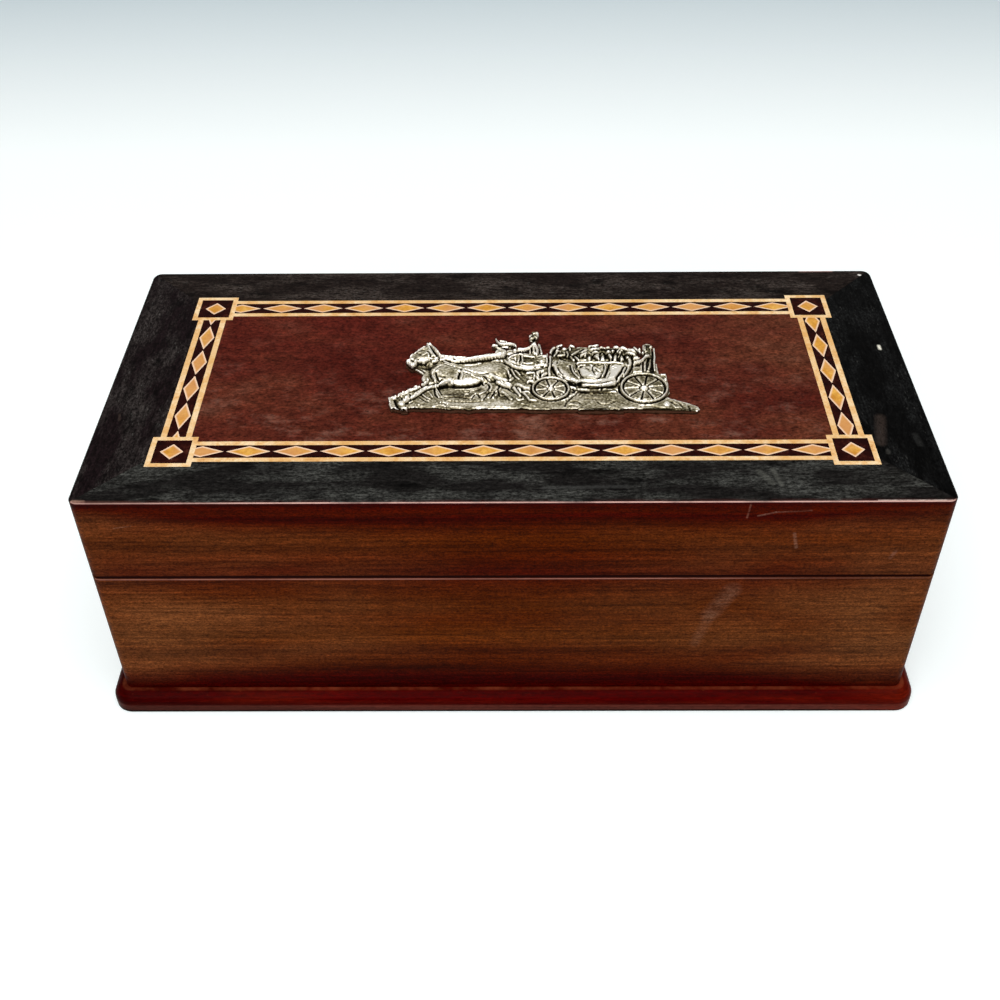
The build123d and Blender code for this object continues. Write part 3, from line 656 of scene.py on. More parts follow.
def slab(top, bevel, *corners, foot=edge_height, soft=0.05):
    """A flat form with a straight-sided outline and a rounded edge."""
    gap, inside = np.full(X.shape, far_off), np.zeros(X.shape, bool)
    for (x0, y0), (x1, y1) in zip(corners, corners[1:] + corners[:1]):
        along, rise = x1 - x0, y1 - y0
        share = np.clip(((X - x0) * along + (Y - y0) * rise) / (along**2 + rise**2), 0, 1)
        gap = np.minimum(gap, np.hypot(X - x0 - share * along, Y - y0 - share * rise))
        if rise:
            inside ^= ((y0 > Y) != (y1 > Y)) & (X < along * (Y - y0) / rise + x0)
    gap = np.where(inside, -gap, gap)
    depth = np.clip(-gap / bevel, 0, 1)
    lay(gap, foot + (top - foot) * np.sqrt(1 - (1 - depth) ** 2), soft)


def dome(top, x, y, long, short, turn=0.0, foot=edge_height, soft=0.05):
    """A rounded boss with two half lengths, turned by some degrees."""
    c, s = np.cos(radians(turn)), np.sin(radians(turn))
    reach = np.hypot(((X - x) * c + (Y - y) * s) / long, ((Y - y) * c - (X - x) * s) / short)
    height = foot + (top - foot) * np.sqrt(np.clip(1 - reach**2, 0, 1))
    lay((reach - 1) * min(long, short), height, soft)


def carve(depth, *knots):
    """A round-bottomed line cut into what is there."""
    gap, half = trace(knots)
    casting["height"] -= depth * np.exp(-(((gap + half) / half) ** 2))


def paint_light(amount, *knots):
    """Paints a highlight along a line, or with a negative amount paints shade along it."""
    gap, half = trace(knots)
    casting["painted_light"] += amount * np.clip(-paint_light_slope * gap / half, 0, 1)


# Plate behind the figures, and the ground strip with its ledges and painted shade along its front
slab(
    1.45, 0.4, (-12.4, -15.0), (-10.4, -9.0), (-8.6, -5.6), (-4.0, 2.0), (-2.6, 4.4), (6.0, 9.0),
    (12.0, 6.0), (13.4, 2.0), (38.0, 2.0), (44.0, 3.4), (46.6, 3.4), (46.8, -2.0), (49.2, -2.6),
    (49.4, -12.0), (47.0, -16.0),
)
slab(1.1, 0.4, (-29.0, -14.0), (-27.0, -8.0), (-20.0, -5.0), (-8.0, -5.0), (-6.0, -14.0))
slab(
    1.95, 0.15, (-38.3, -14.6), (-37.6, -17.4), (-36.4, -19.7), (-34.6, -20.4), (-32.6, -20.1),
    (-30.2, -19.5), (-27.0, -19.9), (-23.6, -19.7), (-19.6, -20.4), (-16.0, -20.3), (-13.6, -20.6),
    (-9.0, -20.2), (0.0, -20.3), (14.0, -20.5), (22.0, -20.4), (30.0, -20.8), (36.0, -20.4),
    (45.0, -20.9), (57.0, -21.1), (57.9, -20.1), (57.4, -18.9), (55.0, -17.6), (51.0, -16.3),
    (47.6, -14.8), (40.0, -13.2), (30.0, -12.8), (0.0, -12.8), (-8.0, -12.6), (-10.0, -13.6),
    (-20.6, -13.6), (-22.4, -12.0), (-23.4, -8.0), (-26.0, -8.6), (-30.0, -11.0), (-34.0, -12.6),
    foot=1.75,
)
carve(0.3, (-20.6, -14.5, 0.35), (-16.0, -14.7, 0.3), (-11.3, -15.8, 0.3))
carve(0.2, (-19.6, -16.6, 0.3), (-14.3, -17.1, 0.3), (-9.7, -16.9, 0.3))
strand(
    2.1, (-19.5, -19.5, 0.4), (-15.8, -19.5, 0.35), (-13.2, -20.6, 0.35), (-11.2, -19.7, 0.4),
    (-6.6, -19.3, 0.35), (-0.5, -19.6, 0.3), soft=0.3, foot=1.8,
)
strand(2.1, (2.9, -19.9, 0.4), (7.2, -20.4, 0.35), (11.8, -20.5, 0.4), soft=0.3, foot=1.8)
strand(2.1, (3.2, -18.1, 0.35), (6.6, -18.9, 0.4), (7.5, -19.9, 0.3), soft=0.3, foot=1.8)
strand(
    2.15, (20.8, -20.7, 0.4), (24.0, -21.0, 0.35), (27.5, -21.2, 0.35), (29.5, -20.8, 0.4),
    (30.2, -19.8, 0.35), (31.7, -20.3, 0.4), (34.6, -21.4, 0.3), soft=0.2, foot=1.8,
)
carve(0.25, (18.4, -17.0, 0.35), (20.4, -17.0, 0.35), (21.4, -18.3, 0.3))
strand(2.1, (17.7, -18.2, 0.3), (20.1, -18.7, 0.35), (21.0, -20.0, 0.3), soft=0.3, foot=1.8)
carve(0.3, (26.5, -17.3, 0.3), (27.9, -18.5, 0.35), (30.0, -18.3, 0.3), (31.6, -17.3, 0.3))
carve(0.2, (22.8, -15.6, 0.3), (27.4, -15.8, 0.3), (32.0, -16.9, 0.3))
carve(0.45, (20.4, -12.7, 0.3), (18.8, -14.8, 0.3), (17.0, -17.4, 0.3), (16.4, -19.4, 0.25))
strand(2.2, (15.6, -16.6, 0.35), (16.7, -16.1, 0.4), (17.8, -15.3, 0.35), foot=1.6)
strand(2.2, (18.2, -14.3, 0.45), (19.6, -13.4, 0.4), foot=1.6)
strand(2.1, (18.5, -9.3, 0.4), (19.9, -10.1, 0.45), foot=1.5)
carve(
    0.5, (39.9, -19.4, 0.35), (43.3, -19.4, 0.4), (45.9, -20.4, 0.4), (49.7, -21.0, 0.35),
    (53.5, -21.4, 0.35), (56.3, -21.5, 0.3),
)
strand(
    2.1, (49.5, -18.8, 0.4), (50.5, -20.1, 0.35), (51.7, -19.8, 0.35), (52.7, -21.0, 0.3), foot=1.6,
)
strand(2.0, (53.5, -18.7, 0.3), (53.7, -20.9, 0.35), foot=1.6)
strand(2.0, (55.2, -19.4, 0.3), (55.3, -21.2, 0.3), foot=1.6)
carve(0.4, (49.3, -17.3, 0.4), (50.5, -18.6, 0.4))
carve(0.4, (52.0, -18.3, 0.4), (52.7, -19.6, 0.4))
carve(0.4, (54.5, -18.6, 0.4), (54.7, -20.8, 0.3))
dome(2.3, 57.5, -22.1, 0.7, 0.5, foot=1.5)

# Horse at full stretch: barrel, quarters, neck, head and legs
strand(
    2.7, (-21.0, -1.6, 5.6), (-17.0, -2.2, 5.5), (-12.6, -2.4, 5.2), (-8.0, -1.8, 4.8), soft=0.5,
    flat=0.25,
)
dome(3.1, -5.6, -0.4, 5.8, 4.6, turn=-12, soft=0.6)
dome(3.0, -20.6, -0.6, 5.0, 4.6, turn=20, soft=0.6)
strand(2.3, (-22.6, 0.6, 4.4), (-24.6, 3.2, 3.0), (-25.6, 5.4, 2.4), soft=0.5, flat=0.4)
strand(
    1.7, (-25.6, 2.6, 1.7), (-26.2, -1.0, 1.4), (-26.8, -4.0, 1.6), (-25.4, -5.6, 1.7), soft=0.4,
    flat=0.3,
)
slab(
    1.5, 0.3, (-30.9, 3.3), (-30.0, 4.5), (-27.8, 4.6), (-25.4, 4.9), (-23.1, 5.1), (-23.0, 1.9),
    (-24.6, -0.8), (-25.8, -2.4), (-27.0, -1.3), (-28.5, 0.3), (-30.2, 1.7), foot=1.2,
)
strand(
    1.3, (-33.4, 3.3, 0.4), (-31.5, 1.7, 0.35), (-29.2, 0.0, 0.35), (-27.8, -1.6, 0.4),
    (-26.7, -3.7, 0.5), soft=0.1, foot=0.9,
)
slab(
    2.9, 0.6, (-33.7, 3.8), (-33.0, 5.0), (-32.3, 7.0), (-31.6, 7.9), (-30.5, 9.0), (-29.5, 10.4),
    (-28.2, 12.0), (-27.6, 12.7), (-26.4, 11.8), (-25.4, 9.6), (-24.6, 7.3), (-23.2, 5.4),
    (-23.5, 3.8), (-25.1, 3.2), (-26.4, 4.3), (-28.3, 3.8), (-29.9, 3.5), (-30.2, 2.2),
    (-31.2, 1.1), (-32.4, 1.9), soft=0.2, foot=1.2,
)
carve(0.45, (-29.7, 8.8, 0.35), (-28.6, 9.4, 0.4), (-27.5, 9.6, 0.35))
carve(0.35, (-30.5, 7.6, 0.4), (-29.6, 7.4, 0.4), (-29.1, 6.5, 0.3))
strand(
    3.2, (-28.6, 6.5, 0.3), (-27.8, 6.9, 0.35), (-27.0, 7.5, 0.35), (-26.5, 6.1, 0.3), soft=0.1,
    foot=2.6,
)
carve(0.5, (-27.0, 8.8, 0.25), (-26.2, 7.5, 0.3), (-26.0, 5.8, 0.3))
strand(
    3.3, (-30.8, 3.0, 0.35), (-30.2, 3.8, 0.5), (-28.9, 3.8, 0.55), (-27.7, 3.8, 0.6),
    (-26.5, 4.2, 0.5), soft=0.1, foot=2.2,
)
strand(3.2, (-25.1, 3.3, 0.4), (-24.3, 3.6, 0.5), (-23.5, 4.3, 0.4), soft=0.1, foot=2.0)
strand(3.2, (-31.1, 7.4, 0.3), (-29.9, 9.2, 0.35), (-28.2, 11.0, 0.4), soft=0.1, foot=2.2)
strand(3.1, (-32.4, 6.1, 0.35), (-31.8, 7.1, 0.45), soft=0.1, foot=2.2)
strand(3.3, (-33.3, 3.3, 0.5), (-32.5, 3.8, 0.7), (-31.7, 4.1, 0.6), soft=0.1, foot=2.0)
strand(3.1, (-32.7, 2.2, 0.4), (-31.7, 1.1, 0.4), soft=0.1, foot=1.8)
carve(1.1, (-31.9, 3.6, 0.3), (-31.5, 3.4, 0.3))
carve(0.9, (-30.0, 3.9, 0.3), (-29.7, 4.5, 0.3))
carve(0.7, (-32.6, 6.0, 0.25), (-31.7, 6.3, 0.25))
carve(
    0.9, (-29.5, 4.4, 0.35), (-27.8, 4.5, 0.4), (-26.2, 4.8, 0.45), (-24.5, 4.3, 0.4),
    (-22.9, 4.6, 0.4),
)
carve(0.6, (-25.2, 5.6, 0.5), (-24.4, 5.9, 0.5))
strand(3.0, (-27.3, 13.1, 0.55), (-26.7, 11.4, 0.5), (-26.6, 9.4, 0.5), soft=0.15, foot=1.4)
strand(
    3.2, (-26.5, 13.1, 0.5), (-25.8, 11.9, 0.5), (-24.7, 10.2, 0.5), (-23.7, 8.3, 0.5),
    (-22.6, 5.9, 0.45), soft=0.02, foot=1.6,
)
carve(
    1.2, (-26.4, 12.6, 0.35), (-25.4, 10.4, 0.4), (-24.9, 8.7, 0.4), (-23.7, 7.6, 0.35),
    (-22.7, 6.6, 0.35),
)
carve(0.6, (-28.1, 12.9, 0.25), (-27.4, 11.4, 0.25))
strand(2.8, (-26.3, 9.7, 0.35), (-25.9, 7.8, 0.3), soft=0.1, foot=2.0)
carve(0.6, (-26.5, 2.2, 0.6), (-26.0, 0.0, 0.6), (-25.9, -2.1, 0.5), (-25.0, -4.5, 0.35))
carve(0.4, (-24.0, 2.9, 0.6), (-25.1, 2.3, 0.6))
dome(2.5, -26.4, -5.6, 0.5, 0.9, soft=0.2, foot=1.4)
strand(2.5, (-28.0, -8.2, 0.35), (-27.3, -7.7, 0.4), (-26.4, -6.4, 0.35), soft=0.2, foot=1.4)
strand(3.2, (-25.0, -2.9, 0.35), (-24.1, -1.8, 0.4), (-23.0, -0.5, 0.38), soft=0.02, foot=1.8)
carve(0.8, (-24.3, -1.8, 0.3), (-23.4, -0.4, 0.35), (-22.6, 0.7, 0.3))
strand(2.5, (-24.9, -3.8, 0.4), (-24.3, -5.1, 0.4), (-23.9, -6.4, 0.4), soft=0.1, foot=1.6)
carve(0.9, (-23.9, -2.6, 0.3), (-23.4, -4.7, 0.35), (-22.8, -5.7, 0.4), (-22.1, -5.6, 0.35))
carve(0.5, (-22.9, -3.9, 0.45), (-22.1, -4.5, 0.45), (-21.1, -4.7, 0.4))
strand(
    3.0, (-19.4, -7.1, 1.3), (-21.0, -7.5, 0.95), (-23.3, -8.8, 0.75), (-25.4, -9.9, 0.75),
    (-27.0, -10.8, 0.8), (-28.4, -12.5, 0.8), (-29.9, -14.3, 0.75), (-30.9, -15.2, 0.7), foot=1.6,
    flat=0.35,
)
carve(
    1.2, (-19.3, -6.7, 0.3), (-21.2, -8.0, 0.3), (-23.1, -8.3, 0.3), (-24.8, -9.0, 0.3),
    (-26.3, -10.3, 0.3), (-27.9, -11.1, 0.3), (-29.7, -13.3, 0.28), (-30.5, -14.3, 0.28),
)
carve(0.8, (-22.5, -6.2, 0.28), (-24.8, -7.1, 0.28), (-27.2, -7.9, 0.28), (-28.1, -9.3, 0.28))
slab(
    3.1, 0.3, (-33.7, -17.2), (-33.5, -16.0), (-32.5, -15.0), (-31.4, -14.8), (-31.2, -15.8),
    (-31.7, -17.2), (-32.9, -17.7), foot=1.6,
)
carve(
    1.0, (-34.1, -14.7, 0.25), (-33.7, -15.7, 0.28), (-32.6, -16.2, 0.28), (-31.7, -15.6, 0.28),
    (-31.4, -14.3, 0.25), (-31.6, -13.0, 0.2),
)
strand(
    2.7, (-28.9, -9.8, 0.5), (-30.1, -10.8, 0.55), (-31.9, -11.4, 0.55), (-33.9, -12.7, 0.55),
    (-35.6, -14.2, 0.5), (-36.2, -15.1, 0.45), foot=1.3, flat=0.35,
)
dome(2.9, -30, -9.3, 1.0, 0.45, foot=1.3)
slab(
    2.7, 0.35, (-37.0, -15.4), (-36.1, -14.4), (-35.6, -15.1), (-35.7, -15.8), (-36.8, -16.0),
    foot=1.4,
)
carve(0.9, (-31.2, -9.2, 0.22), (-29.9, -9.1, 0.25), (-28.8, -8.8, 0.22))
carve(
    0.8, (-37.2, -14.6, 0.25), (-36.4, -15.0, 0.28), (-35.5, -14.7, 0.28), (-35.5, -13.3, 0.28),
    (-34.7, -12.6, 0.25), (-33.6, -12.6, 0.25), (-32.5, -11.1, 0.22),
)
strand(2.2, (-34.1, -14.0, 0.6), (-32.4, -12.2, 0.5), (-31.0, -11.4, 0.5), soft=0.1, foot=1.5)
strand(2.2, (-34.8, -15.2, 0.5), (-34.9, -16.5, 0.6), (-33.9, -17.3, 0.5), soft=0.1, foot=1.5)
slab(
    2.8, 0.25, (-34.1, -20.8), (-33.1, -19.7), (-31.9, -19.8), (-32.0, -21.1), (-33.2, -21.3),
    foot=1.4,
)
slab(
    2.6, 0.25, (-35.1, -21.7), (-34.1, -21.8), (-32.4, -22.2), (-32.3, -22.9), (-33.7, -22.9),
    (-35.1, -22.4), foot=1.4,
)
strand(2.2, (-35.2, -18.3, 0.4), (-34.3, -18.4, 0.4), foot=1.5, soft=0.1)
carve(
    0.8, (-36.1, -16.2, 0.35), (-35.6, -17.9, 0.4), (-35.1, -19.4, 0.35), (-33.8, -20.2, 0.25),
    (-32.1, -20.0, 0.25),
)
carve(0.6, (-33.9, -17.7, 0.3), (-32.5, -17.7, 0.3), (-31.7, -16.8, 0.3))
strand(2.1, (-37.6, -17.6, 0.3), (-36.9, -19.6, 0.3), foot=1.2, soft=0.1)
carve(0.7, (-31.5, -17.3, 0.4), (-30.7, -17.3, 0.35))
strand(2.1, (-31.5, -17.2, 0.35), (-30.6, -16.4, 0.35), foot=1.5, soft=0.1)
carve(0.5, (-32.2, -21.2, 0.3), (-30.2, -21.0, 0.3))
# Painted shade along the front edge of the ground strip
paint_light(-0.9, (-32.0, -20.1, 0.8), (-23.0, -20.1, 0.8), (-13.0, -20.8, 0.8), (3.0, -20.7, 0.8))
paint_light(-0.75, (3.0, -20.6, 0.8), (14.0, -20.7, 0.7), (36.0, -20.8, 0.7), (56.0, -21.0, 0.8))

# Quarters and hind legs
strand(
    2.9, (-10.9, -3.1, 0.5), (-8.7, -2.9, 0.55), (-7.1, -3.1, 0.6), (-5.2, -4.4, 0.6),
    (-3.3, -5.6, 0.6), (-1.8, -6.4, 0.55), soft=0.3, foot=2.4,
)
carve(0.7, (-14.7, -1.1, 0.25), (-12.2, -2.5, 0.28), (-9.9, -3.2, 0.3), (-7.4, -3.2, 0.3))
carve(1.1, (-5.2, -4.0, 0.3), (-3.1, -5.0, 0.32), (-1.9, -5.6, 0.32), (-0.6, -5.6, 0.28))
carve(0.8, (-0.6, -2.7, 0.28), (-0.4, -4.3, 0.3), (-0.6, -6.1, 0.28))
strand(2.8, (-2.0, -0.4, 0.3), (-1.1, -1.7, 0.32), (-0.3, -4.1, 0.3), soft=0.02, foot=2.0)
carve(0.8, (-2.2, 2.3, 0.28), (-1.1, 1.2, 0.28), (0.1, -0.4, 0.25))
carve(0.9, (-2.3, 5.1, 0.3), (-1.5, 3.8, 0.3))
carve(0.8, (-8.8, -4.1, 0.35), (-7.7, -5.3, 0.4), (-6.3, -5.9, 0.4), (-5.2, -5.9, 0.35))
strand(2.4, (-7.5, -5.3, 0.3), (-6.9, -6.0, 0.35), soft=0.1, foot=1.6)
slab(
    3.0, 0.45, (-5.0, -7.2), (-4.2, -6.5), (-2.9, -6.8), (-2.3, -7.7), (-1.1, -8.0), (0.3, -8.4),
    (0.0, -9.6), (-0.4, -10.2), (-1.7, -9.7), (-3.3, -8.8), (-4.7, -8.0), foot=1.6,
)
carve(
    1.2, (-4.5, -6.6, 0.28), (-3.3, -7.7, 0.3), (-2.0, -8.7, 0.3), (-0.4, -9.1, 0.28),
    (0.7, -10.2, 0.28),
)
carve(0.9, (0.0, -8.9, 0.28), (1.1, -10.6, 0.3), (1.9, -12.9, 0.3), (3.0, -14.7, 0.3))
strand(2.4, (0.8, -9.8, 0.5), (1.9, -12.4, 0.4), (2.7, -14.2, 0.4), soft=0.1, foot=1.6)
strand(2.4, (1.6, -15.7, 0.35), (2.3, -16.5, 0.35), (3.7, -16.0, 0.3), soft=0.1, foot=1.6)
strand(
    3.0, (1.9, -8.7, 0.35), (3.2, -9.6, 0.35), (4.2, -10.4, 0.38), (5.5, -10.9, 0.38), soft=0.02,
    foot=1.8,
)
carve(0.9, (1.6, -7.7, 0.25), (3.5, -9.2, 0.3), (4.6, -10.0, 0.3), (5.7, -10.1, 0.28))
strand(2.8, (2.1, -10.6, 0.35), (3.1, -11.9, 0.4), foot=1.8)
carve(0.9, (3.2, -11.7, 0.35), (3.6, -13.0, 0.4), (4.5, -14.3, 0.35))
strand(2.6, (3.8, -12.9, 0.4), (4.8, -14.7, 0.4), (5.7, -16.5, 0.45), (7.6, -16.9, 0.35), foot=1.6)
strand(2.3, (3.6, -12.3, 0.4), (4.9, -12.0, 0.5), (5.6, -12.6, 0.4), soft=0.1, foot=1.6)

# Harness: girth, traces and straps, and the long rein to the driver
carve(1.0, (-15.9, -0.8, 0.3), (-16.3, -2.5, 0.34), (-16.6, -4.1, 0.34), (-16.7, -5.5, 0.3))
strand(3.3, (-15.6, -2.2, 0.3), (-15.5, -4.1, 0.34), (-15.8, -6.0, 0.3), foot=2.4)
carve(0.7, (-21.2, 2.6, 0.28), (-19.7, 1.4, 0.28), (-18.0, 0.3, 0.28))
carve(0.7, (-21.2, 1.7, 0.28), (-18.8, 0.5, 0.28), (-16.2, -0.4, 0.28))
strand(3.0, (-21.3, 0.3, 0.3), (-20.3, -0.2, 0.32), (-17.9, -1.6, 0.3), foot=2.3)
strand(3.0, (-21.1, -0.1, 0.3), (-18.8, -1.0, 0.32), (-16.3, -2.0, 0.3), foot=2.3)
strand(2.9, (-21.6, 3.7, 0.3), (-20.2, 2.4, 0.3), (-18.0, 1.0, 0.3), foot=2.3)
strand(2.9, (-21.2, 2.4, 0.3), (-19.6, 1.3, 0.3), (-17.9, 0.5, 0.3), foot=2.3)
strand(3.3, (-12.6, -4.3, 0.26), (-10.8, -5.1, 0.3), (-9.2, -6.1, 0.3), soft=0.02, foot=2.4)
carve(0.6, (-14.2, -2.9, 0.25), (-12.1, -4.3, 0.25), (-9.9, -5.7, 0.25))
carve(0.5, (-15.3, -2.4, 0.3), (-14.2, -2.7, 0.3))
strand(2.7, (-14.8, 1.5, 0.3), (-12.2, 1.7, 0.3), (-9.7, 2.4, 0.25), foot=2.0)
carve(
    0.7, (-18.2, 3.4, 0.3), (-16.4, 2.9, 0.3), (-13.2, 3.4, 0.3), (-10.1, 4.1, 0.3),
    (-6.8, 5.1, 0.28),
)
carve(0.5, (-15.3, 1.3, 0.25), (-12.6, 1.4, 0.25), (-11.0, 2.0, 0.22))
strand(2.5, (-5.9, 3.6, 0.6), (-4.3, 4.2, 0.7), (-3.1, 4.2, 0.5), soft=0.2, foot=1.8)
carve(0.5, (-4.1, 4.8, 0.3), (-3.5, 4.0, 0.3))
slab(
    1.3, 0.3, (-22.1, 7.1), (-18.2, 7.0), (-10.1, 7.8), (-2.8, 8.9), (-1.1, 8.6), (-0.9, 4.7),
    (-3.6, 4.7), (-10.1, 3.4), (-18.1, 3.2), (-22.0, 3.8), foot=1.1,
)
strand(3.3, (-22.4, 5.9, 0.7), (-20.0, 5.4, 0.8), (-18.1, 5.1, 0.85), foot=2.2, flat=0.3)
strand(
    3.3, (-21.3, 5.1, 0.85), (-18.1, 4.9, 0.95), (-14.1, 5.2, 0.9), (-10.1, 5.8, 0.75),
    (-6.0, 6.4, 0.6), (-3.1, 6.8, 0.55), (-2.0, 8.0, 0.4), foot=2.2, flat=0.3,
)
carve(0.7, (-21.3, 5.9, 0.2), (-20.4, 5.6, 0.2))
carve(0.35, (-15.2, 4.6, 0.25), (-14.2, 5.7, 0.25), (-12.9, 5.2, 0.2))
carve(0.35, (-11.7, 5.7, 0.2), (-9.7, 6.3, 0.2), (-8.5, 6.8, 0.2))
carve(
    1.6, (-18.3, 4.9, 0.46), (-16.5, 5.0, 0.46), (-14.6, 5.3, 0.46), (-13.0, 5.7, 0.44),
    (-11.1, 6.3, 0.42), (-8.5, 7.0, 0.38), (-5.9, 7.6, 0.34), (-4.0, 7.9, 0.32), (-2.2, 8.8, 0.3),
)
carve(0.9, (-21.3, 5.3, 0.3), (-19.9, 5.0, 0.3), (-18.1, 4.4, 0.3))
strand(3.1, (-22.7, 4.3, 0.35), (-21.6, 4.3, 0.35), foot=2.2)

# Plants on the ground, under the legs
slab(
    2.0, 0.5, (-29.6, -14.2), (-27.9, -12.2), (-26.2, -11.2), (-24.7, -10.2), (-24.0, -10.9),
    (-23.8, -16.1), (-24.2, -18.6), (-26.6, -19.6), (-29.7, -19.5), (-30.4, -16.8), soft=0.2,
    foot=1.5,
)
carve(0.7, (-27.9, -13.4, 0.25), (-26.8, -14.7, 0.28), (-25.5, -15.7, 0.3))
carve(0.5, (-28.4, -14.7, 0.25), (-27.1, -16.2, 0.28), (-25.8, -17.1, 0.25))
strand(2.3, (-27.5, -13.6, 0.3), (-26.3, -14.9, 0.35), (-25.2, -15.7, 0.35), soft=0.1, foot=1.8)
dome(2.3, -28.6, -18.4, 0.5, 0.5, foot=1.8, soft=0.1)
strand(2.3, (-25.7, -12.1, 0.35), (-25.0, -13.6, 0.35), (-24.5, -14.7, 0.3), soft=0.1, foot=1.7)
carve(
    0.8, (-24.2, -9.3, 0.28), (-23.9, -11.4, 0.3), (-23.6, -13.2, 0.3), (-22.8, -14.5, 0.3),
    (-21.7, -14.9, 0.28),
)
strand(2.2, (-23.4, -11.5, 0.35), (-23.0, -13.3, 0.4), (-22.5, -14.6, 0.3), foot=1.4)
carve(0.8, (-23.2, -9.3, 0.28), (-22.5, -10.9, 0.3), (-21.6, -13.2, 0.3))
strand(2.3, (-21.9, -17.2, 0.35), (-20.8, -17.4, 0.35), (-19.7, -18.0, 0.35), foot=1.7)
carve(0.6, (-21.5, -17.3, 0.25), (-20.4, -17.8, 0.28))
strand(
    2.2, (-24.1, -19.3, 0.35), (-22.6, -18.6, 0.35), (-21.2, -18.9, 0.35), (-20.3, -19.4, 0.3),
    foot=1.7,
)
strand(2.0, (-23.7, -15.8, 0.3), (-22.9, -15.7, 0.3), foot=1.5)
strand(1.35, (-17.7, -9.6, 0.2), (-13.8, -9.5, 0.2), (-10.8, -8.9, 0.2), soft=0.1, foot=1.0)
carve(
    1.5, (-22.6, -8.4, 0.6), (-20.9, -7.9, 0.6), (-19.7, -7.3, 0.55), (-17.7, -8.0, 0.6),
    (-15.5, -8.4, 0.6), (-13.0, -8.1, 0.6), (-11.1, -7.4, 0.55), (-9.4, -6.4, 0.4),
)
strand(1.9, (-14.5, -12.7, 0.3), (-13.2, -12.7, 0.3), soft=0.1, foot=1.1)
slab(
    1.9, 0.5, (-12.9, -10.4), (-9.2, -8.6), (-7.4, -6.8), (-5.2, -7.3), (-3.9, -9.1), (-1.4, -10.4),
    (0.8, -12.5), (1.1, -16.1), (-6.6, -17.0), (-11.9, -16.8), (-13.3, -14.2), soft=0.2, foot=1.3,
)
strand(2.4, (-9.9, -13.2, 0.3), (-8.8, -12.5, 0.35), (-7.9, -11.3, 0.35), soft=0.03, foot=1.5)
strand(
    2.3, (-7.3, -7.3, 0.35), (-6.7, -8.1, 0.35), (-6.2, -9.6, 0.3), (-6.7, -11.5, 0.3), soft=0.03,
    foot=1.5,
)
carve(0.9, (-9.3, -6.6, 0.25), (-8.6, -8.4, 0.28))
carve(
    0.9, (-8.1, -7.0, 0.28), (-7.1, -8.1, 0.3), (-7.0, -9.7, 0.3), (-7.9, -11.0, 0.28),
    (-9.2, -12.1, 0.26),
)
strand(2.4, (-9.1, -16.4, 0.4), (-8.5, -14.9, 0.35), (-7.3, -12.9, 0.3), soft=0.03, foot=1.5)
carve(0.9, (-8.7, -15.5, 0.28), (-7.9, -14.1, 0.28), (-7.0, -12.2, 0.28), (-6.1, -12.1, 0.22))
dome(2.4, -7.1, -15, 0.6, 0.5, turn=25, foot=1.6)
strand(2.4, (-6.0, -12.9, 0.3), (-5.3, -12.1, 0.32), (-4.5, -11.2, 0.3), soft=0.03, foot=1.5)
dome(2.4, -4.8, -13.9, 0.4, 0.7, turn=-30, foot=1.6)
dome(2.4, -5.6, -15.3, 0.45, 0.5, foot=1.6)
carve(
    0.9, (-6.3, -14.9, 0.25), (-5.7, -13.1, 0.28), (-5.0, -11.3, 0.28), (-4.0, -9.8, 0.28),
    (-3.6, -8.5, 0.25),
)
carve(0.7, (-4.2, -10.8, 0.28), (-3.9, -12.6, 0.3), (-3.6, -14.1, 0.28), (-1.4, -14.3, 0.26))
carve(0.7, (-3.1, -10.2, 0.25), (-2.0, -9.7, 0.26), (-0.6, -10.7, 0.28), (0.6, -12.0, 0.28))
strand(
    2.4, (-2.8, -12.2, 0.45), (-1.5, -13.7, 0.55), (-0.4, -15.5, 0.6), (0.0, -16.0, 0.5), foot=1.6,
    flat=0.4,
)
strand(2.2, (-12.8, -15.8, 0.3), (-11.8, -13.6, 0.3), (-11.0, -12.6, 0.25), foot=1.5)
carve(0.6, (-10.6, -13.0, 0.28), (-9.8, -14.6, 0.28))
carve(0.6, (-12.8, -15.3, 0.22), (-12.1, -14.8, 0.25), (-11.5, -13.3, 0.22))
carve(0.5, (-14.5, -11.1, 0.3), (-12.6, -10.9, 0.3), (-11.4, -10.1, 0.25))
strand(2.1, (-12.0, -11.2, 0.3), (-10.8, -10.6, 0.35), (-9.8, -9.9, 0.3), foot=1.4)

# Seat: a boat-shaped shell with a rolled rim, arcs at its left end, a rosette and a scroll
slab(
    2.3, 0.5, (-1.2, 4.7), (-0.7, 6.4), (1.5, 8.0), (3.5, 8.3), (5.1, 8.2), (7.7, 7.7), (10.2, 7.4),
    (11.7, 7.7), (11.9, 4.3), (11.6, 1.6), (9.1, 0.6), (6.9, 0.3), (4.4, 0.3), (1.8, 1.4),
    (-0.1, 2.5), foot=1.4,
)
strand(
    2.9, (-1.9, 3.7, 0.35), (-0.7, 2.5, 0.36), (0.9, 1.1, 0.36), (2.8, 0.1, 0.38), (4.3, -0.4, 0.4),
    (5.9, -0.4, 0.4), (7.5, -0.1, 0.36), (9.1, 0.0, 0.3), foot=1.5,
)
carve(
    1.1, (-2.5, 5.4, 0.28), (-1.2, 3.8, 0.32), (0.2, 3.0, 0.32), (2.0, 1.9, 0.34), (4.0, 0.6, 0.36),
    (6.0, 0.2, 0.36), (7.9, 1.0, 0.34), (10.1, 1.4, 0.3),
)
carve(0.9, (0.1, 6.5, 0.3), (0.6, 6.3, 0.3))
dome(2.8, 1.2, 5.1, 0.55, 0.5, foot=2.0)
strand(2.7, (-0.9, 5.5, 0.25), (0.4, 6.6, 0.28), (1.7, 7.2, 0.28), foot=2.0)
carve(0.6, (-0.7, 5.7, 0.25), (0.5, 4.9, 0.28), (1.5, 3.8, 0.25))
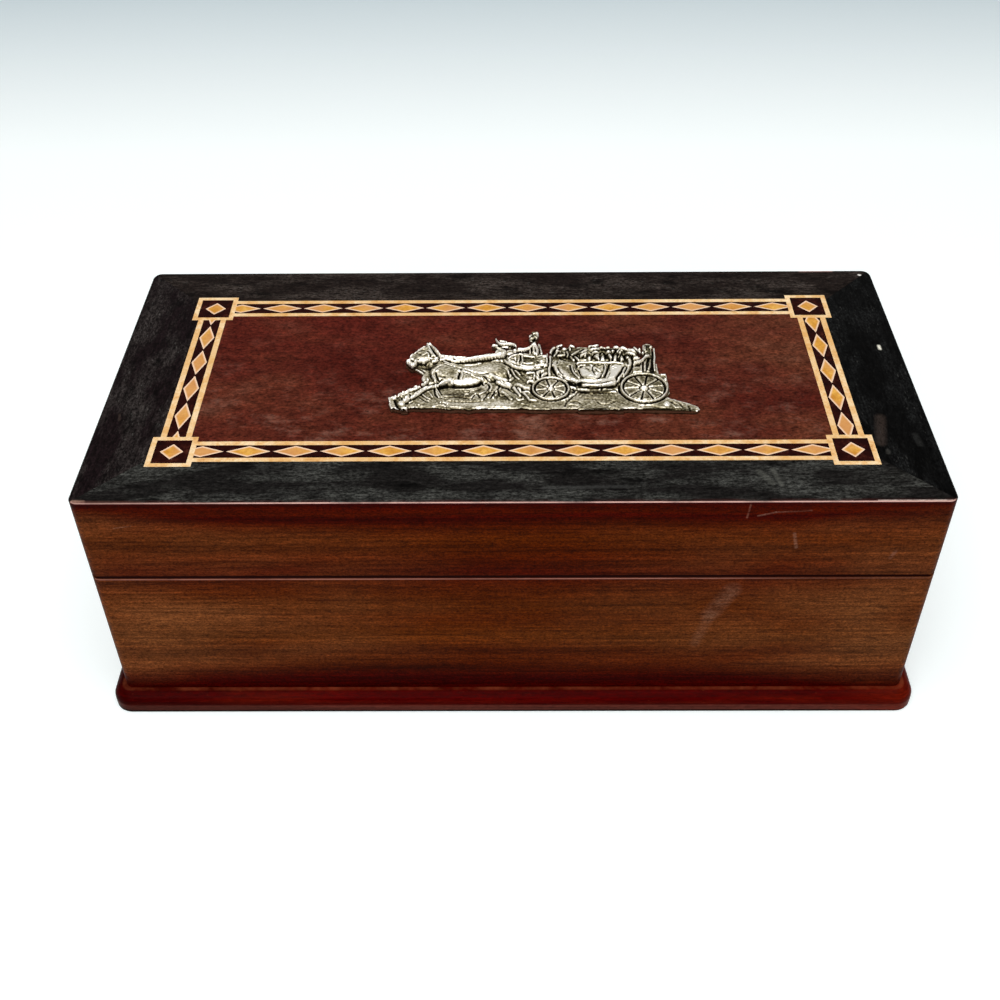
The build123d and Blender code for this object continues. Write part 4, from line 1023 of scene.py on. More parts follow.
carve(0.6, (1.8, 5.0, 0.2), (1.7, 3.5, 0.22))
strand(2.8, (2.6, 4.9, 0.25), (2.4, 3.9, 0.3), (2.1, 2.6, 0.28), foot=2.0)
carve(0.9, (2.8, 8.1, 0.28), (3.1, 6.3, 0.3), (2.9, 4.7, 0.3), (2.4, 3.5, 0.28))
strand(2.8, (3.5, 6.7, 0.25), (3.6, 5.1, 0.28), (3.6, 3.2, 0.28), (3.1, 1.8, 0.25), foot=2.0)
strand(2.7, (2.7, 7.7, 0.25), (3.5, 7.3, 0.25), foot=2.0)
strand(2.6, (3.9, 6.6, 0.25), (5.7, 6.3, 0.25), (7.5, 5.9, 0.25), foot=2.1)
strand(2.55, (3.7, 2.8, 0.3), (5.3, 2.4, 0.35), (7.1, 2.8, 0.3), foot=2.1, soft=0.1)
carve(0.4, (4.1, 5.8, 0.4), (5.7, 5.5, 0.4), (7.3, 5.2, 0.3))
carve(0.5, (3.7, 2.3, 0.25), (5.7, 1.9, 0.25), (7.6, 2.0, 0.22))
strand(2.4, (7.6, 5.9, 0.25), (7.7, 2.1, 0.25), foot=2.1)
dome(3.2, 9.7, 2.9, 1.2, 0.95, foot=1.9)
carve(
    0.7, (8.4, 3.8, 0.22), (8.9, 2.9, 0.25), (9.8, 2.4, 0.26), (11.0, 3.4, 0.24), (11.6, 4.9, 0.2),
)
carve(0.6, (8.6, 5.8, 0.2), (9.7, 6.5, 0.22), (10.7, 5.9, 0.22), (11.2, 4.9, 0.2))
strand(2.9, (10.3, 6.1, 0.28), (11.2, 5.8, 0.32), (11.5, 4.9, 0.32), (11.6, 3.7, 0.28), foot=2.0)
strand(2.4, (11.7, 8.1, 0.3), (11.8, 7.2, 0.25), foot=1.6)
carve(1.0, (12.0, 8.6, 0.25), (11.9, 6.1, 0.28), (11.8, 3.1, 0.28))
strand(
    2.6, (12.5, 6.4, 0.35), (12.5, 3.9, 0.32), (12.3, 1.5, 0.35), (12.0, -0.9, 0.45),
    (12.1, -3.2, 0.4), foot=1.5,
)
strand(
    2.7, (10.0, -1.5, 0.5), (8.8, -1.9, 0.55), (8.1, -3.2, 0.6), (8.4, -4.8, 0.6),
    (9.2, -5.7, 0.55), (10.0, -6.1, 0.45), foot=1.6, flat=0.3,
)
strand(2.7, (11.1, -2.7, 0.35), (10.4, -3.3, 0.4), (9.8, -3.9, 0.35), foot=1.6)
carve(0.9, (9.2, -1.8, 0.28), (9.2, -2.9, 0.25))
carve(
    1.0, (7.6, 0.3, 0.22), (7.4, -1.9, 0.26), (8.0, -3.7, 0.28), (8.9, -4.8, 0.28),
    (9.8, -5.1, 0.22),
)
carve(1.0, (9.9, -2.6, 0.25), (10.7, -2.0, 0.28), (11.5, -1.4, 0.28))
strand(2.3, (5.0, -2.2, 0.28), (6.2, -2.1, 0.3), (7.3, -2.1, 0.25), foot=1.5)
strand(2.4, (7.3, -2.2, 0.25), (7.3, -3.6, 0.3), (7.1, -4.9, 0.25), foot=1.5)
strand(2.7, (4.8, -3.8, 0.28), (5.3, -4.5, 0.35), (5.9, -5.3, 0.35), foot=1.6)
carve(1.0, (4.6, -3.6, 0.28), (5.3, -4.4, 0.3), (6.4, -4.3, 0.3), (7.3, -4.1, 0.25))
strand(2.5, (5.1, -7.0, 0.35), (6.0, -6.5, 0.38), (7.1, -6.9, 0.38), (7.7, -7.7, 0.3), foot=1.6)
carve(0.5, (4.9, -7.2, 0.3), (6.2, -7.3, 0.35))
carve(0.22, (-0.4, 1.4, 0.22), (1.6, -2.3, 0.25), (3.7, -5.3, 0.22))
carve(0.22, (0.5, 1.4, 0.22), (2.4, -1.7, 0.25), (4.3, -4.3, 0.22))
carve(0.22, (1.5, 0.8, 0.22), (3.2, -1.9, 0.25), (5.0, -4.0, 0.22))
carve(0.22, (-1.1, 0.3, 0.22), (0.2, -2.4, 0.25), (1.5, -4.5, 0.22))
strand(1.9, (1.2, -0.4, 0.28), (2.0, -1.5, 0.3), (2.7, -2.6, 0.25), foot=1.4, soft=0.1)
strand(1.9, (0.1, 0.1, 0.25), (1.2, -3.4, 0.3), (2.4, -5.0, 0.25), foot=1.4, soft=0.1)
carve(0.8, (-0.6, -3.2, 0.28), (-0.3, -1.3, 0.3), (-0.9, 1.1, 0.28))
strand(2.0, (-0.3, -5.4, 0.5), (0.4, -4.6, 0.5), foot=1.5, soft=0.1)

# Driver: coat, bent arm with the reins, head and round hat
strand(2.3, (7.7, 12.7, 0.9), (7.9, 10.5, 1.1), (8.0, 8.0, 1.3), soft=0.2, foot=1.4, flat=0.3)
strand(3.1, (7.7, 12.8, 0.5), (8.2, 11.0, 0.5), (8.5, 8.8, 0.45), (8.1, 7.1, 0.4), foot=2.0)
strand(3.1, (7.6, 12.7, 0.5), (7.1, 11.0, 0.5), (7.2, 9.0, 0.45), (7.6, 7.4, 0.4), foot=2.0)
carve(0.8, (8.1, 11.8, 0.22), (8.1, 11.1, 0.22))
carve(1.0, (6.4, 11.9, 0.22), (6.7, 10.7, 0.26), (7.0, 9.0, 0.25))
strand(2.4, (6.1, 10.3, 0.28), (6.1, 8.9, 0.3), foot=1.6)
strand(
    3.2, (7.7, 13.0, 0.45), (6.6, 11.8, 0.5), (5.4, 10.5, 0.6), (3.8, 9.9, 0.65), (2.3, 9.9, 0.6),
    foot=1.8, flat=0.2,
)
carve(0.9, (2.4, 10.2, 0.26), (3.8, 10.3, 0.28), (5.4, 11.0, 0.28), (6.3, 12.0, 0.24))
strand(1.9, (9.1, 14.7, 0.3), (9.4, 11.9, 0.35), (9.8, 8.8, 0.4), foot=1.3)
carve(0.8, (9.1, 15.9, 0.25), (9.2, 13.6, 0.28), (9.2, 11.4, 0.28))
strand(2.2, (6.7, 16.8, 0.8), (7.5, 17.7, 1.0), (8.2, 19.1, 0.9), soft=0.1, foot=1.3)
strand(2.3, (6.2, 18.1, 0.35), (7.4, 19.4, 0.4), (8.7, 19.8, 0.4), foot=1.5)
strand(2.2, (7.2, 20.3, 0.4), (8.5, 20.3, 0.4), foot=1.4)
strand(2.5, (7.5, 17.7, 0.3), (8.3, 17.0, 0.35), foot=1.8)
carve(0.7, (6.0, 16.7, 0.3), (7.0, 16.4, 0.35), (7.7, 16.7, 0.3))
carve(0.5, (6.5, 19.7, 0.25), (7.0, 19.1, 0.25))
strand(
    2.9, (-5.0, 15.8, 0.22), (-4.5, 14.5, 0.28), (-3.8, 13.5, 0.35), (-2.4, 13.0, 0.38),
    (-0.4, 13.3, 0.4), (0.9, 12.7, 0.38), (1.7, 11.9, 0.35), soft=0.02, foot=1.6,
)
strand(2.4, (-3.7, 15.5, 0.2), (-2.5, 15.2, 0.22), (-1.5, 14.6, 0.2), soft=0.02, foot=1.6)
dome(3.2, 1.2, 9.4, 0.75, 0.75, foot=1.8)
carve(1.1, (1.8, 12.6, 0.22), (2.0, 11.2, 0.24), (1.9, 9.8, 0.22))
carve(1.1, (0.1, 12.4, 0.24), (0.4, 10.7, 0.3), (1.0, 9.8, 0.26))
strand(1.5, (-5.3, 13.2, 0.5), (-3.3, 12.8, 0.55), (-0.4, 12.8, 0.5), soft=0.02, foot=1.1, flat=0.3)
strand(2.0, (-2.9, 12.4, 0.25), (-1.1, 12.3, 0.25), soft=0.02, foot=1.4)
strand(2.3, (-6.0, 13.1, 0.3), (-5.3, 13.2, 0.35), (-4.6, 12.8, 0.25), soft=0.02, foot=1.3)
strand(1.5, (-6.1, 13.7, 0.35), (-4.8, 12.8, 0.4), (-3.7, 12.5, 0.4), soft=0.02, foot=1.0)
slab(
    2.5, 0.4, (-5.4, 8.6), (-4.6, 10.5), (-3.2, 10.7), (-1.9, 10.0), (-1.5, 9.1), (-2.2, 8.3),
    (-3.6, 7.8), (-5.3, 7.5), soft=0.1, foot=1.7,
)
slab(
    2.0, 0.4, (-1.5, 10.1), (-0.4, 10.9), (0.6, 10.4), (0.7, 8.7), (-0.4, 8.2), (-1.5, 8.2),
    soft=0.1, foot=1.4,
)
carve(0.4, (-4.3, 10.0, 0.25), (-3.6, 9.2, 0.25))

# Carriage: a tub with a beaded far rim, drapery inside it, ribs, panels and a heavy lower rim
slab(
    1.5, 0.6, (13.0, 4.6), (13.4, 8.0), (15.0, 10.6), (17.6, 12.2), (21.6, 12.9), (26.4, 12.4),
    (31.0, 12.6), (35.6, 12.4), (38.8, 11.0), (40.6, 8.6), (41.0, 5.6), (38.6, 2.2), (15.0, 2.2),
)
slab(
    2.6, 0.9, (12.8, 2.0), (14.0, 4.5), (21.0, 2.8), (26.8, 3.2), (34.8, 3.0), (36.6, 2.1),
    (35.5, -1.1), (34.3, -4.0), (32.9, -6.4), (32.1, -8.2), (29.3, -9.2), (26.9, -9.9),
    (24.6, -9.8), (22.4, -8.9), (20.7, -7.9), (17.6, -7.1), (15.8, -5.2), (14.1, -2.6), foot=1.5,
)
strand(
    2.9, (14.1, -0.8, 0.28), (14.6, -2.7, 0.3), (15.5, -4.6, 0.34), (16.7, -6.2, 0.36),
    (18.1, -7.2, 0.38), (19.6, -7.4, 0.36), (20.8, -7.0, 0.3), foot=1.8,
)
carve(
    0.9, (13.2, 1.2, 0.28), (13.6, -0.9, 0.36), (14.8, -3.1, 0.36), (16.3, -4.7, 0.36),
    (18.0, -6.0, 0.34),
)
carve(0.6, (14.8, 0.0, 0.22), (15.4, -2.1, 0.25), (16.3, -3.7, 0.22))
strand(2.9, (17.0, -5.8, 0.3), (18.4, -6.4, 0.4), (19.8, -6.4, 0.35), foot=2.3, soft=0.1)
dome(2.8, 17.9, 0.4, 0.6, 0.5, foot=2.2, soft=0.1)
carve(0.8, (18.7, 1.1, 0.26), (19.0, -1.1, 0.28), (19.8, -3.2, 0.3), (20.7, -4.9, 0.28))
strand(3.1, (19.2, 0.1, 0.26), (19.5, -2.2, 0.28), (20.2, -4.1, 0.32), (21.3, -5.9, 0.32), foot=2.2)
carve(0.8, (20.7, 1.9, 0.3), (20.8, 0.0, 0.3))
strand(2.9, (19.9, -0.9, 0.25), (20.5, -2.5, 0.25), foot=2.3)
carve(0.9, (21.3, -1.3, 0.26), (21.7, -2.9, 0.28), (22.2, -4.5, 0.28), (22.9, -5.5, 0.26))
strand(3.1, (21.4, -0.1, 0.35), (21.9, 0.5, 0.35), (23.5, 0.7, 0.3), foot=2.5, soft=0.1)
slab(
    3.0, 0.8, (21.8, -1.0), (22.8, 0.1), (25.7, 0.6), (28.1, -1.1), (28.8, -3.2), (28.1, -4.8),
    (26.6, -6.6), (23.1, -6.6), (22.3, -4.7), foot=2.5, soft=0.2,
)
carve(0.45, (25.9, 0.1, 0.22), (25.7, -1.8, 0.25), (26.1, -3.4, 0.25), (26.5, -4.4, 0.2))
carve(0.6, (26.7, -1.4, 0.22), (27.4, -2.6, 0.28), (28.5, -2.9, 0.26))
carve(0.4, (23.7, -0.7, 0.3), (24.5, -1.5, 0.3))
carve(0.4, (26.4, 1.0, 0.3), (27.0, 1.5, 0.3), (28.3, 1.0, 0.3))
strand(3.2, (25.1, 0.8, 0.3), (25.7, 0.3, 0.3), foot=2.6, soft=0.1)
carve(0.8, (29.0, 1.7, 0.26), (29.7, 1.4, 0.26), (29.5, -0.7, 0.26))
carve(0.5, (28.5, -4.3, 0.28), (27.6, -5.9, 0.28), (26.1, -7.0, 0.28))
strand(3.1, (29.8, 1.2, 0.26), (29.9, -0.7, 0.28), (29.5, -2.8, 0.3), (28.7, -4.9, 0.28), foot=2.4)
carve(
    1.0, (32.5, 2.2, 0.22), (31.4, 1.8, 0.3), (30.8, -0.3, 0.32), (30.3, -2.2, 0.32),
    (29.8, -3.8, 0.3), (29.4, -5.1, 0.26),
)
slab(
    3.2, 0.5, (31.3, -0.3), (33.0, 0.8), (35.4, 0.5), (34.9, -1.4), (34.0, -3.8), (32.4, -6.1),
    (29.8, -7.4), (31.3, -3.5), foot=2.5,
)
carve(0.35, (32.1, -0.6, 0.22), (33.0, -1.4, 0.25))
carve(0.9, (35.8, 0.7, 0.22), (35.0, -1.5, 0.26), (34.1, -3.3, 0.26), (33.0, -5.7, 0.26))
strand(2.9, (35.3, -3.1, 0.3), (34.2, -5.2, 0.35), (33.2, -6.8, 0.3), foot=2.0)
strand(2.8, (36.4, 0.1, 0.3), (35.6, -1.9, 0.4), (35.3, -3.9, 0.3), foot=2.0)
carve(0.6, (36.8, 1.0, 0.2), (36.3, -1.0, 0.24), (35.6, -2.7, 0.2))
strand(2.8, (36.5, 1.8, 0.3), (37.3, 0.1, 0.35), (36.6, -2.2, 0.3), (35.4, -4.6, 0.3), foot=1.9)
slab(
    3.3, 0.65, (20.6, -7.0), (22.5, -6.6), (26.2, -7.0), (29.4, -6.5), (32.4, -6.8), (33.1, -7.8),
    (32.4, -9.0), (29.2, -10.0), (26.8, -10.7), (24.5, -10.8), (22.3, -9.9), (20.7, -8.5), foot=1.7,
    soft=0.03,
)
carve(1.4, (17.8, -6.5, 0.34), (18.8, -7.0, 0.4), (20.0, -7.5, 0.34))
carve(1.5, (22.3, -7.5, 0.36), (23.9, -8.2, 0.44), (26.3, -8.3, 0.44), (28.0, -7.8, 0.36))
carve(1.4, (30.4, -7.7, 0.36), (31.8, -7.1, 0.4), (33.4, -6.4, 0.36))
slab(2.0, 0.3, (20.3, -8.1), (22.1, -8.4), (22.0, -11.0), (20.3, -10.7), foot=1.4)
slab(2.0, 0.3, (28.1, -8.7), (30.0, -8.2), (30.0, -11.0), (28.1, -11.0), foot=1.4)
slab(
    2.2, 0.3, (19.9, -10.2), (24.5, -10.5), (32.7, -10.3), (32.5, -12.5), (29.1, -13.0),
    (24.4, -13.1), (20.1, -12.5), foot=1.5,
)
strand(
    2.45, (20.1, -12.3, 0.26), (24.4, -12.6, 0.28), (29.1, -12.6, 0.28), (32.4, -12.4, 0.26),
    foot=2.0,
)
carve(0.4, (28.2, -10.0, 0.25), (28.1, -11.0, 0.25))
carve(
    1.5, (19.3, -10.2, 0.3), (20.7, -11.1, 0.48), (22.7, -11.6, 0.52), (24.5, -11.7, 0.52),
    (27.7, -11.6, 0.52), (30.0, -11.3, 0.52), (32.6, -10.7, 0.42),
)
carve(0.4, (22.1, -10.2, 0.25), (24.5, -10.4, 0.25), (27.7, -10.5, 0.22))
strand(
    3.1, (21.0, 1.8, 0.25), (22.3, 2.2, 0.28), (24.5, 2.3, 0.26), (26.7, 2.3, 0.28),
    (29.9, 2.0, 0.3), (33.1, 2.2, 0.3), (35.6, 1.7, 0.28), foot=2.2,
)
carve(
    0.9, (21.5, 5.1, 0.24), (23.7, 5.0, 0.24), (26.3, 4.8, 0.26), (29.3, 4.9, 0.3),
    (32.5, 4.9, 0.26), (35.9, 5.1, 0.26),
)
strand(
    1.8, (12.8, 9.5, 0.4), (13.4, 11.4, 0.4), (14.8, 12.8, 0.4), (16.4, 13.6, 0.4), foot=1.5,
    soft=0.1,
)
strand(1.6, (13.5, 7.2, 0.6), (13.9, 10.0, 0.6), (15.1, 12.0, 0.5), foot=1.5, soft=0.1)
carve(1.2, (14.7, 12.8, 0.36), (13.9, 10.7, 0.5), (13.5, 8.9, 0.46), (13.5, 7.6, 0.36))
strand(2.3, (15.0, 9.4, 0.25), (14.5, 8.2, 0.32), (13.9, 7.1, 0.28), foot=1.5)
strand(1.8, (12.5, 7.0, 0.28), (12.5, 4.2, 0.28), (12.4, 2.3, 0.28), foot=1.5)
dome(2.5, 17.3, 10.8, 0.85, 0.5, foot=1.6)
strand(2.3, (19.3, 12.6, 0.4), (20.3, 12.3, 0.4), foot=1.5)
strand(2.4, (18.9, 11.6, 0.3), (19.1, 10.5, 0.3), foot=1.5)
carve(0.7, (18.2, 11.6, 0.22), (18.1, 10.8, 0.22))
carve(0.9, (20.6, 12.9, 0.26), (21.4, 12.3, 0.36), (21.9, 12.0, 0.28))
carve(0.7, (19.8, 11.1, 0.2), (21.1, 10.9, 0.24))
strand(2.4, (14.7, 9.7, 0.3), (16.0, 10.0, 0.3), foot=1.6)
carve(0.9, (15.3, 9.6, 0.24), (16.0, 10.0, 0.26), (16.6, 9.6, 0.22))
strand(2.5, (17.1, 8.7, 0.26), (17.2, 7.2, 0.28), foot=1.7)
strand(2.5, (18.0, 8.8, 0.28), (18.3, 7.6, 0.3), (18.1, 6.5, 0.26), foot=1.7)
strand(2.3, (15.2, 7.1, 0.4), (16.9, 7.3, 0.4), foot=1.6)
carve(0.9, (15.6, 6.5, 0.24), (16.5, 5.8, 0.3), (17.4, 5.1, 0.28))
strand(2.6, (15.5, 3.9, 0.28), (16.2, 3.2, 0.34), (17.3, 2.4, 0.3), foot=2.0)
carve(0.5, (13.9, 4.9, 0.3), (14.7, 3.5, 0.3), (14.6, 2.1, 0.25))
strand(2.6, (19.6, 7.2, 0.35), (20.4, 8.0, 0.4), (21.4, 8.8, 0.3), foot=1.7)
strand(2.5, (20.5, 6.2, 0.26), (21.3, 5.0, 0.32), (21.7, 4.3, 0.26), foot=1.8)
carve(0.9, (21.2, 7.6, 0.24), (22.0, 7.3, 0.32), (22.2, 8.1, 0.24))
strand(2.2, (19.2, 6.4, 0.4), (20.1, 4.7, 0.4), foot=1.6, soft=0.1)
carve(0.9, (21.3, 9.4, 0.22), (22.7, 10.6, 0.24), (23.9, 11.8, 0.22), (25.3, 12.0, 0.18))
strand(2.6, (22.9, 8.7, 0.24), (23.7, 9.4, 0.28), (24.4, 9.9, 0.24), foot=1.7)
strand(2.5, (22.5, 7.0, 0.26), (23.5, 7.8, 0.28), (24.2, 8.7, 0.24), foot=1.7)
carve(
    1.0, (24.3, 10.4, 0.24), (25.0, 11.1, 0.28), (25.6, 10.8, 0.3), (26.2, 9.4, 0.34),
    (26.3, 7.8, 0.36), (26.2, 6.7, 0.3),
)
strand(2.5, (23.8, 7.0, 0.26), (24.1, 8.1, 0.28), (24.6, 8.4, 0.24), foot=1.7)
carve(0.8, (24.7, 8.5, 0.24), (25.2, 8.9, 0.26), (25.6, 8.5, 0.22))
dome(2.6, 25.1, 5.5, 0.55, 0.7, foot=1.7)
carve(0.5, (23.1, 6.6, 0.3), (23.8, 6.3, 0.3))
dome(2.7, 27, 10.4, 1.9, 0.42, turn=8, foot=1.6)
dome(2.7, 29.3, 11.1, 0.9, 0.32, foot=1.6)
strand(2.2, (25.3, 12.2, 0.25), (26.6, 12.7, 0.25), (28.3, 13.0, 0.25), foot=1.5)
carve(0.9, (25.4, 13.1, 0.2), (27.0, 13.3, 0.24), (28.5, 13.4, 0.22))
carve(
    1.0, (26.3, 11.3, 0.22), (28.1, 11.5, 0.26), (29.2, 11.9, 0.24), (30.6, 12.1, 0.26),
    (31.7, 11.8, 0.24), (32.7, 12.3, 0.26), (33.8, 11.8, 0.26), (34.2, 11.2, 0.26),
    (35.3, 11.9, 0.26), (36.4, 11.2, 0.26),
)
dome(2.8, 31.4, 11, 0.8, 0.35, turn=-5, foot=1.6)
dome(2.9, 34.1, 11.2, 1.1, 0.5, turn=-6, foot=1.6)
dome(2.9, 36.3, 10.9, 1.0, 0.55, turn=-14, foot=1.6)
dome(2.8, 27.3, 8.6, 1.3, 0.45, foot=1.6)
dome(2.8, 31.3, 8.7, 1.0, 0.45, turn=4, foot=1.6)
dome(2.4, 33.1, 9.7, 0.7, 0.5, foot=1.6)
strand(2.4, (34.4, 9.2, 0.3), (35.1, 10.1, 0.32), (35.9, 9.6, 0.3), foot=1.6)
slab(
    2.7, 0.35, (26.6, 6.4), (27.7, 7.5), (28.4, 7.3), (28.2, 5.6), (28.3, 4.2), (27.4, 5.1),
    foot=1.7,
)
slab(2.7, 0.35, (28.8, 5.3), (29.4, 6.7), (29.8, 6.1), (30.0, 3.9), (28.6, 4.0), foot=1.7)
slab(2.7, 0.35, (31.2, 7.5), (32.0, 7.2), (32.5, 5.6), (32.0, 5.0), (31.4, 5.9), foot=1.7)
slab(2.6, 0.35, (32.8, 4.1), (32.9, 5.7), (33.4, 6.8), (34.0, 6.5), (33.7, 4.1), foot=1.7)
slab(2.7, 0.35, (34.9, 5.3), (35.6, 6.4), (36.1, 4.5), (35.1, 3.8), foot=1.7)
carve(
    1.0, (28.6, 8.3, 0.28), (28.9, 9.3, 0.3), (29.6, 9.7, 0.3), (30.1, 9.0, 0.32),
    (30.3, 7.5, 0.28),
)
carve(0.7, (30.6, 8.6, 0.3), (30.5, 6.4, 0.3))
carve(1.0, (32.7, 6.6, 0.26), (32.9, 8.3, 0.3), (33.5, 9.5, 0.34), (34.0, 10.1, 0.34))
strand(2.3, (34.5, 6.4, 0.35), (35.0, 8.3, 0.4), (35.4, 9.4, 0.3), foot=1.7)
carve(0.8, (34.2, 6.5, 0.26), (34.7, 8.1, 0.28))
carve(0.9, (36.6, 7.1, 0.26), (36.3, 8.5, 0.26), (36.9, 9.3, 0.26))
dome(2.9, 36.4, 10.6, 1.5, 0.42, turn=-14, foot=1.6)
dome(2.9, 38.8, 9.5, 1.9, 0.42, turn=-24, foot=1.6)
carve(1.0, (36.6, 11.8, 0.26), (38.0, 11.4, 0.28), (39.2, 10.5, 0.28), (40.2, 10.1, 0.26))
dome(2.8, 38.5, 7.8, 1.9, 0.36, turn=-17, foot=1.6)
strand(2.2, (40.0, 11.6, 0.35), (40.9, 10.2, 0.35), (41.7, 9.1, 0.3), foot=1.4, soft=0.1)
carve(1.0, (38.3, 8.9, 0.24), (39.6, 8.3, 0.28), (41.4, 8.1, 0.26))
dome(2.7, 40.1, 5.4, 1.3, 0.36, turn=4, foot=1.6)
dome(2.6, 37.4, 5.6, 0.6, 0.4, foot=1.7)
carve(0.9, (36.5, 7.6, 0.24), (36.5, 6.2, 0.24))
strand(2.3, (37.9, 4.9, 0.5), (38.0, 2.8, 0.5), (37.5, 1.5, 0.4), foot=1.6)
carve(0.9, (38.9, 7.0, 0.24), (39.0, 5.3, 0.26), (39.1, 3.9, 0.24))

# Rear: the scroll, the upright with its ornament, a panel under the scroll and a step
strand(
    1.7, (44.4, 12.9, 1.3), (44.5, 9.1, 1.2), (44.4, 5.0, 1.2), (43.7, -0.4, 1.3), foot=1.2,
    flat=0.5,
)
slab(
    1.7, 0.4, (42.8, 13.3), (44.1, 14.0), (45.9, 13.1), (45.5, 10.5), (43.4, 9.8), (42.7, 11.2),
    foot=1.2,
)
strand(
    1.9, (46.3, 11.2, 0.3), (46.2, 7.1, 0.28), (45.8, 3.7, 0.28), (45.6, -0.7, 0.28), foot=1.4,
    soft=0.1,
)
carve(0.8, (45.8, 12.5, 0.24), (45.7, 9.0, 0.26), (45.2, 4.9, 0.28), (44.7, 0.1, 0.26))
dome(2.5, 41.7, 10.5, 0.45, 0.75, turn=-30, foot=1.4)
dome(2.3, 42.6, 8.9, 0.4, 0.7, turn=20, foot=1.5)
strand(2.2, (44.5, 11.5, 0.3), (45.5, 11.9, 0.35), foot=1.5)
strand(2.1, (43.5, 12.0, 0.25), (43.4, 10.3, 0.25), foot=1.4)
carve(0.7, (44.4, 11.9, 0.26), (45.1, 10.9, 0.26))
carve(0.7, (42.1, 11.1, 0.28), (42.1, 9.3, 0.28), (43.4, 9.3, 0.26))
strand(
    3.1, (39.2, 2.2, 0.42), (40.1, 2.8, 0.45), (41.2, 3.4, 0.46), (42.0, 4.2, 0.45),
    (42.9, 5.4, 0.45), (44.2, 6.0, 0.42), foot=1.8, soft=0.02,
)
carve(
    1.2, (39.1, 3.3, 0.34), (40.1, 3.4, 0.36), (41.1, 3.9, 0.34), (42.0, 4.9, 0.3),
    (42.7, 6.1, 0.24),
)
carve(1.1, (39.0, 2.5, 0.3), (38.5, 1.1, 0.28), (37.8, -0.5, 0.28), (37.1, -1.7, 0.26))
carve(0.8, (41.6, 7.4, 0.24), (42.9, 8.4, 0.26), (44.0, 9.4, 0.24))
slab(2.1, 0.4, (38.8, 0.7), (41.1, 1.4), (41.9, 3.4), (41.6, -2.0), (38.6, -2.0), foot=1.5)
carve(0.7, (42.1, 3.7, 0.24), (42.0, 1.0, 0.26), (41.8, -1.3, 0.24))
strand(2.1, (43.4, 5.1, 0.3), (42.8, 2.7, 0.35), (42.5, -1.0, 0.35), foot=1.5)
strand(2.7, (44.3, 2.2, 0.28), (44.1, 0.9, 0.36), (43.7, -0.5, 0.4), foot=1.6)
dome(2.5, 43.4, -1.8, 0.65, 0.6, foot=1.6)
carve(0.8, (44.2, 5.2, 0.24), (43.7, 3.5, 0.24))
strand(2.0, (47.5, -3.0, 0.3), (48.7, -3.0, 0.3), foot=1.2, soft=0.02)
dome(2.3, 48.5, -5.7, 0.65, 0.65, foot=1.2)
strand(1.6, (48.1, -3.3, 0.5), (48.5, -5.0, 0.5), (48.7, -7.0, 0.5), foot=1.1, soft=0.02)

# Painted light: highlights painted on crowns, most on the belly, the tub's lower rim and its right
# panel, and painted shade in places, darkest under the belly and along the tub's rims
paint_light(
    0.9, (-19.0, -7.5, 1.5), (-16.9, -7.3, 1.8), (-14.1, -6.7, 2.0), (-11.9, -7.2, 1.6),
    (-9.9, -7.3, 0.9),
)
paint_light(
    1.6, (21.2, -7.2, 1.2), (23.8, -8.0, 1.6), (27.0, -8.2, 1.7), (30.1, -7.4, 1.5),
    (32.4, -7.0, 1.1),
)
paint_light(1.2, (33.6, -0.1, 1.6), (32.3, -2.8, 1.6), (30.9, -5.7, 1.3))
paint_light(0.75, (22.7, -3.0, 1.6), (24.8, -4.4, 2.0), (27.2, -4.6, 1.6))
paint_light(0.35, (15.9, -1.9, 1.2), (18.2, -5.1, 1.2), (19.8, -6.7, 0.9))
paint_light(1.1, (-19.5, -6.4, 1.3), (-23.3, -8.4, 0.95), (-27.0, -10.4, 1.0), (-30.4, -14.3, 0.95))
paint_light(1.0, (-33.0, -16.2, 1.0), (-32.0, -15.4, 1.0))
paint_light(0.7, (-31.0, -11.1, 0.6), (-35.6, -14.5, 0.6))
paint_light(0.6, (-30.6, -9.4, 0.6), (-29.4, -9.3, 0.6))
paint_light(0.5, (-33.3, 3.8, 0.8), (-31.9, 1.9, 0.6))
paint_light(0.4, (-30.9, 3.5, 0.5), (-29.0, 4.3, 0.6), (-26.6, 4.7, 0.5))
paint_light(0.3, (-32.6, 6.6, 0.4), (-31.1, 7.9, 0.4), (-28.2, 11.4, 0.5))
paint_light(0.35, (-27.2, 13.2, 0.6), (-26.0, 12.9, 0.5), (-24.8, 10.7, 0.5), (-22.6, 6.5, 0.45))
paint_light(0.5, (-25.1, -2.4, 0.4), (-23.0, 0.0, 0.4))
paint_light(1.0, (-34.0, -20.7, 0.6), (-32.0, -20.6, 0.6))
paint_light(1.0, (-34.9, -22.4, 0.5), (-32.5, -22.9, 0.5))
paint_light(0.55, (-21.3, 5.7, 1.0), (-14.1, 5.7, 0.9), (-6.1, 6.9, 0.6), (-2.3, 7.7, 0.5))
paint_light(0.7, (-4.5, -7.1, 0.5), (-2.3, -8.3, 0.7), (0.0, -9.2, 0.7))
paint_light(0.3, (-10.2, -2.9, 0.6), (-5.2, -4.4, 0.7), (-2.0, -6.3, 0.6))
paint_light(0.6, (9.2, 3.3, 0.8), (10.1, 3.3, 0.8))
paint_light(0.4, (10.4, 6.0, 0.4), (11.5, 4.9, 0.4), (11.5, 3.8, 0.4))
paint_light(0.5, (2.4, 10.3, 0.8), (5.4, 10.9, 0.7), (7.8, 13.4, 0.6), (7.7, 7.9, 0.8))
paint_light(0.4, (1.2, 9.8, 0.7), (1.4, 9.8, 0.7))
paint_light(0.3, (-1.9, 3.7, 0.4), (0.9, 1.1, 0.4), (5.8, -0.4, 0.4))
paint_light(0.4, (33.4, 11.4, 0.6), (36.6, 10.9, 0.6))
paint_light(0.4, (35.7, 10.8, 0.6), (39.8, 8.8, 0.5))
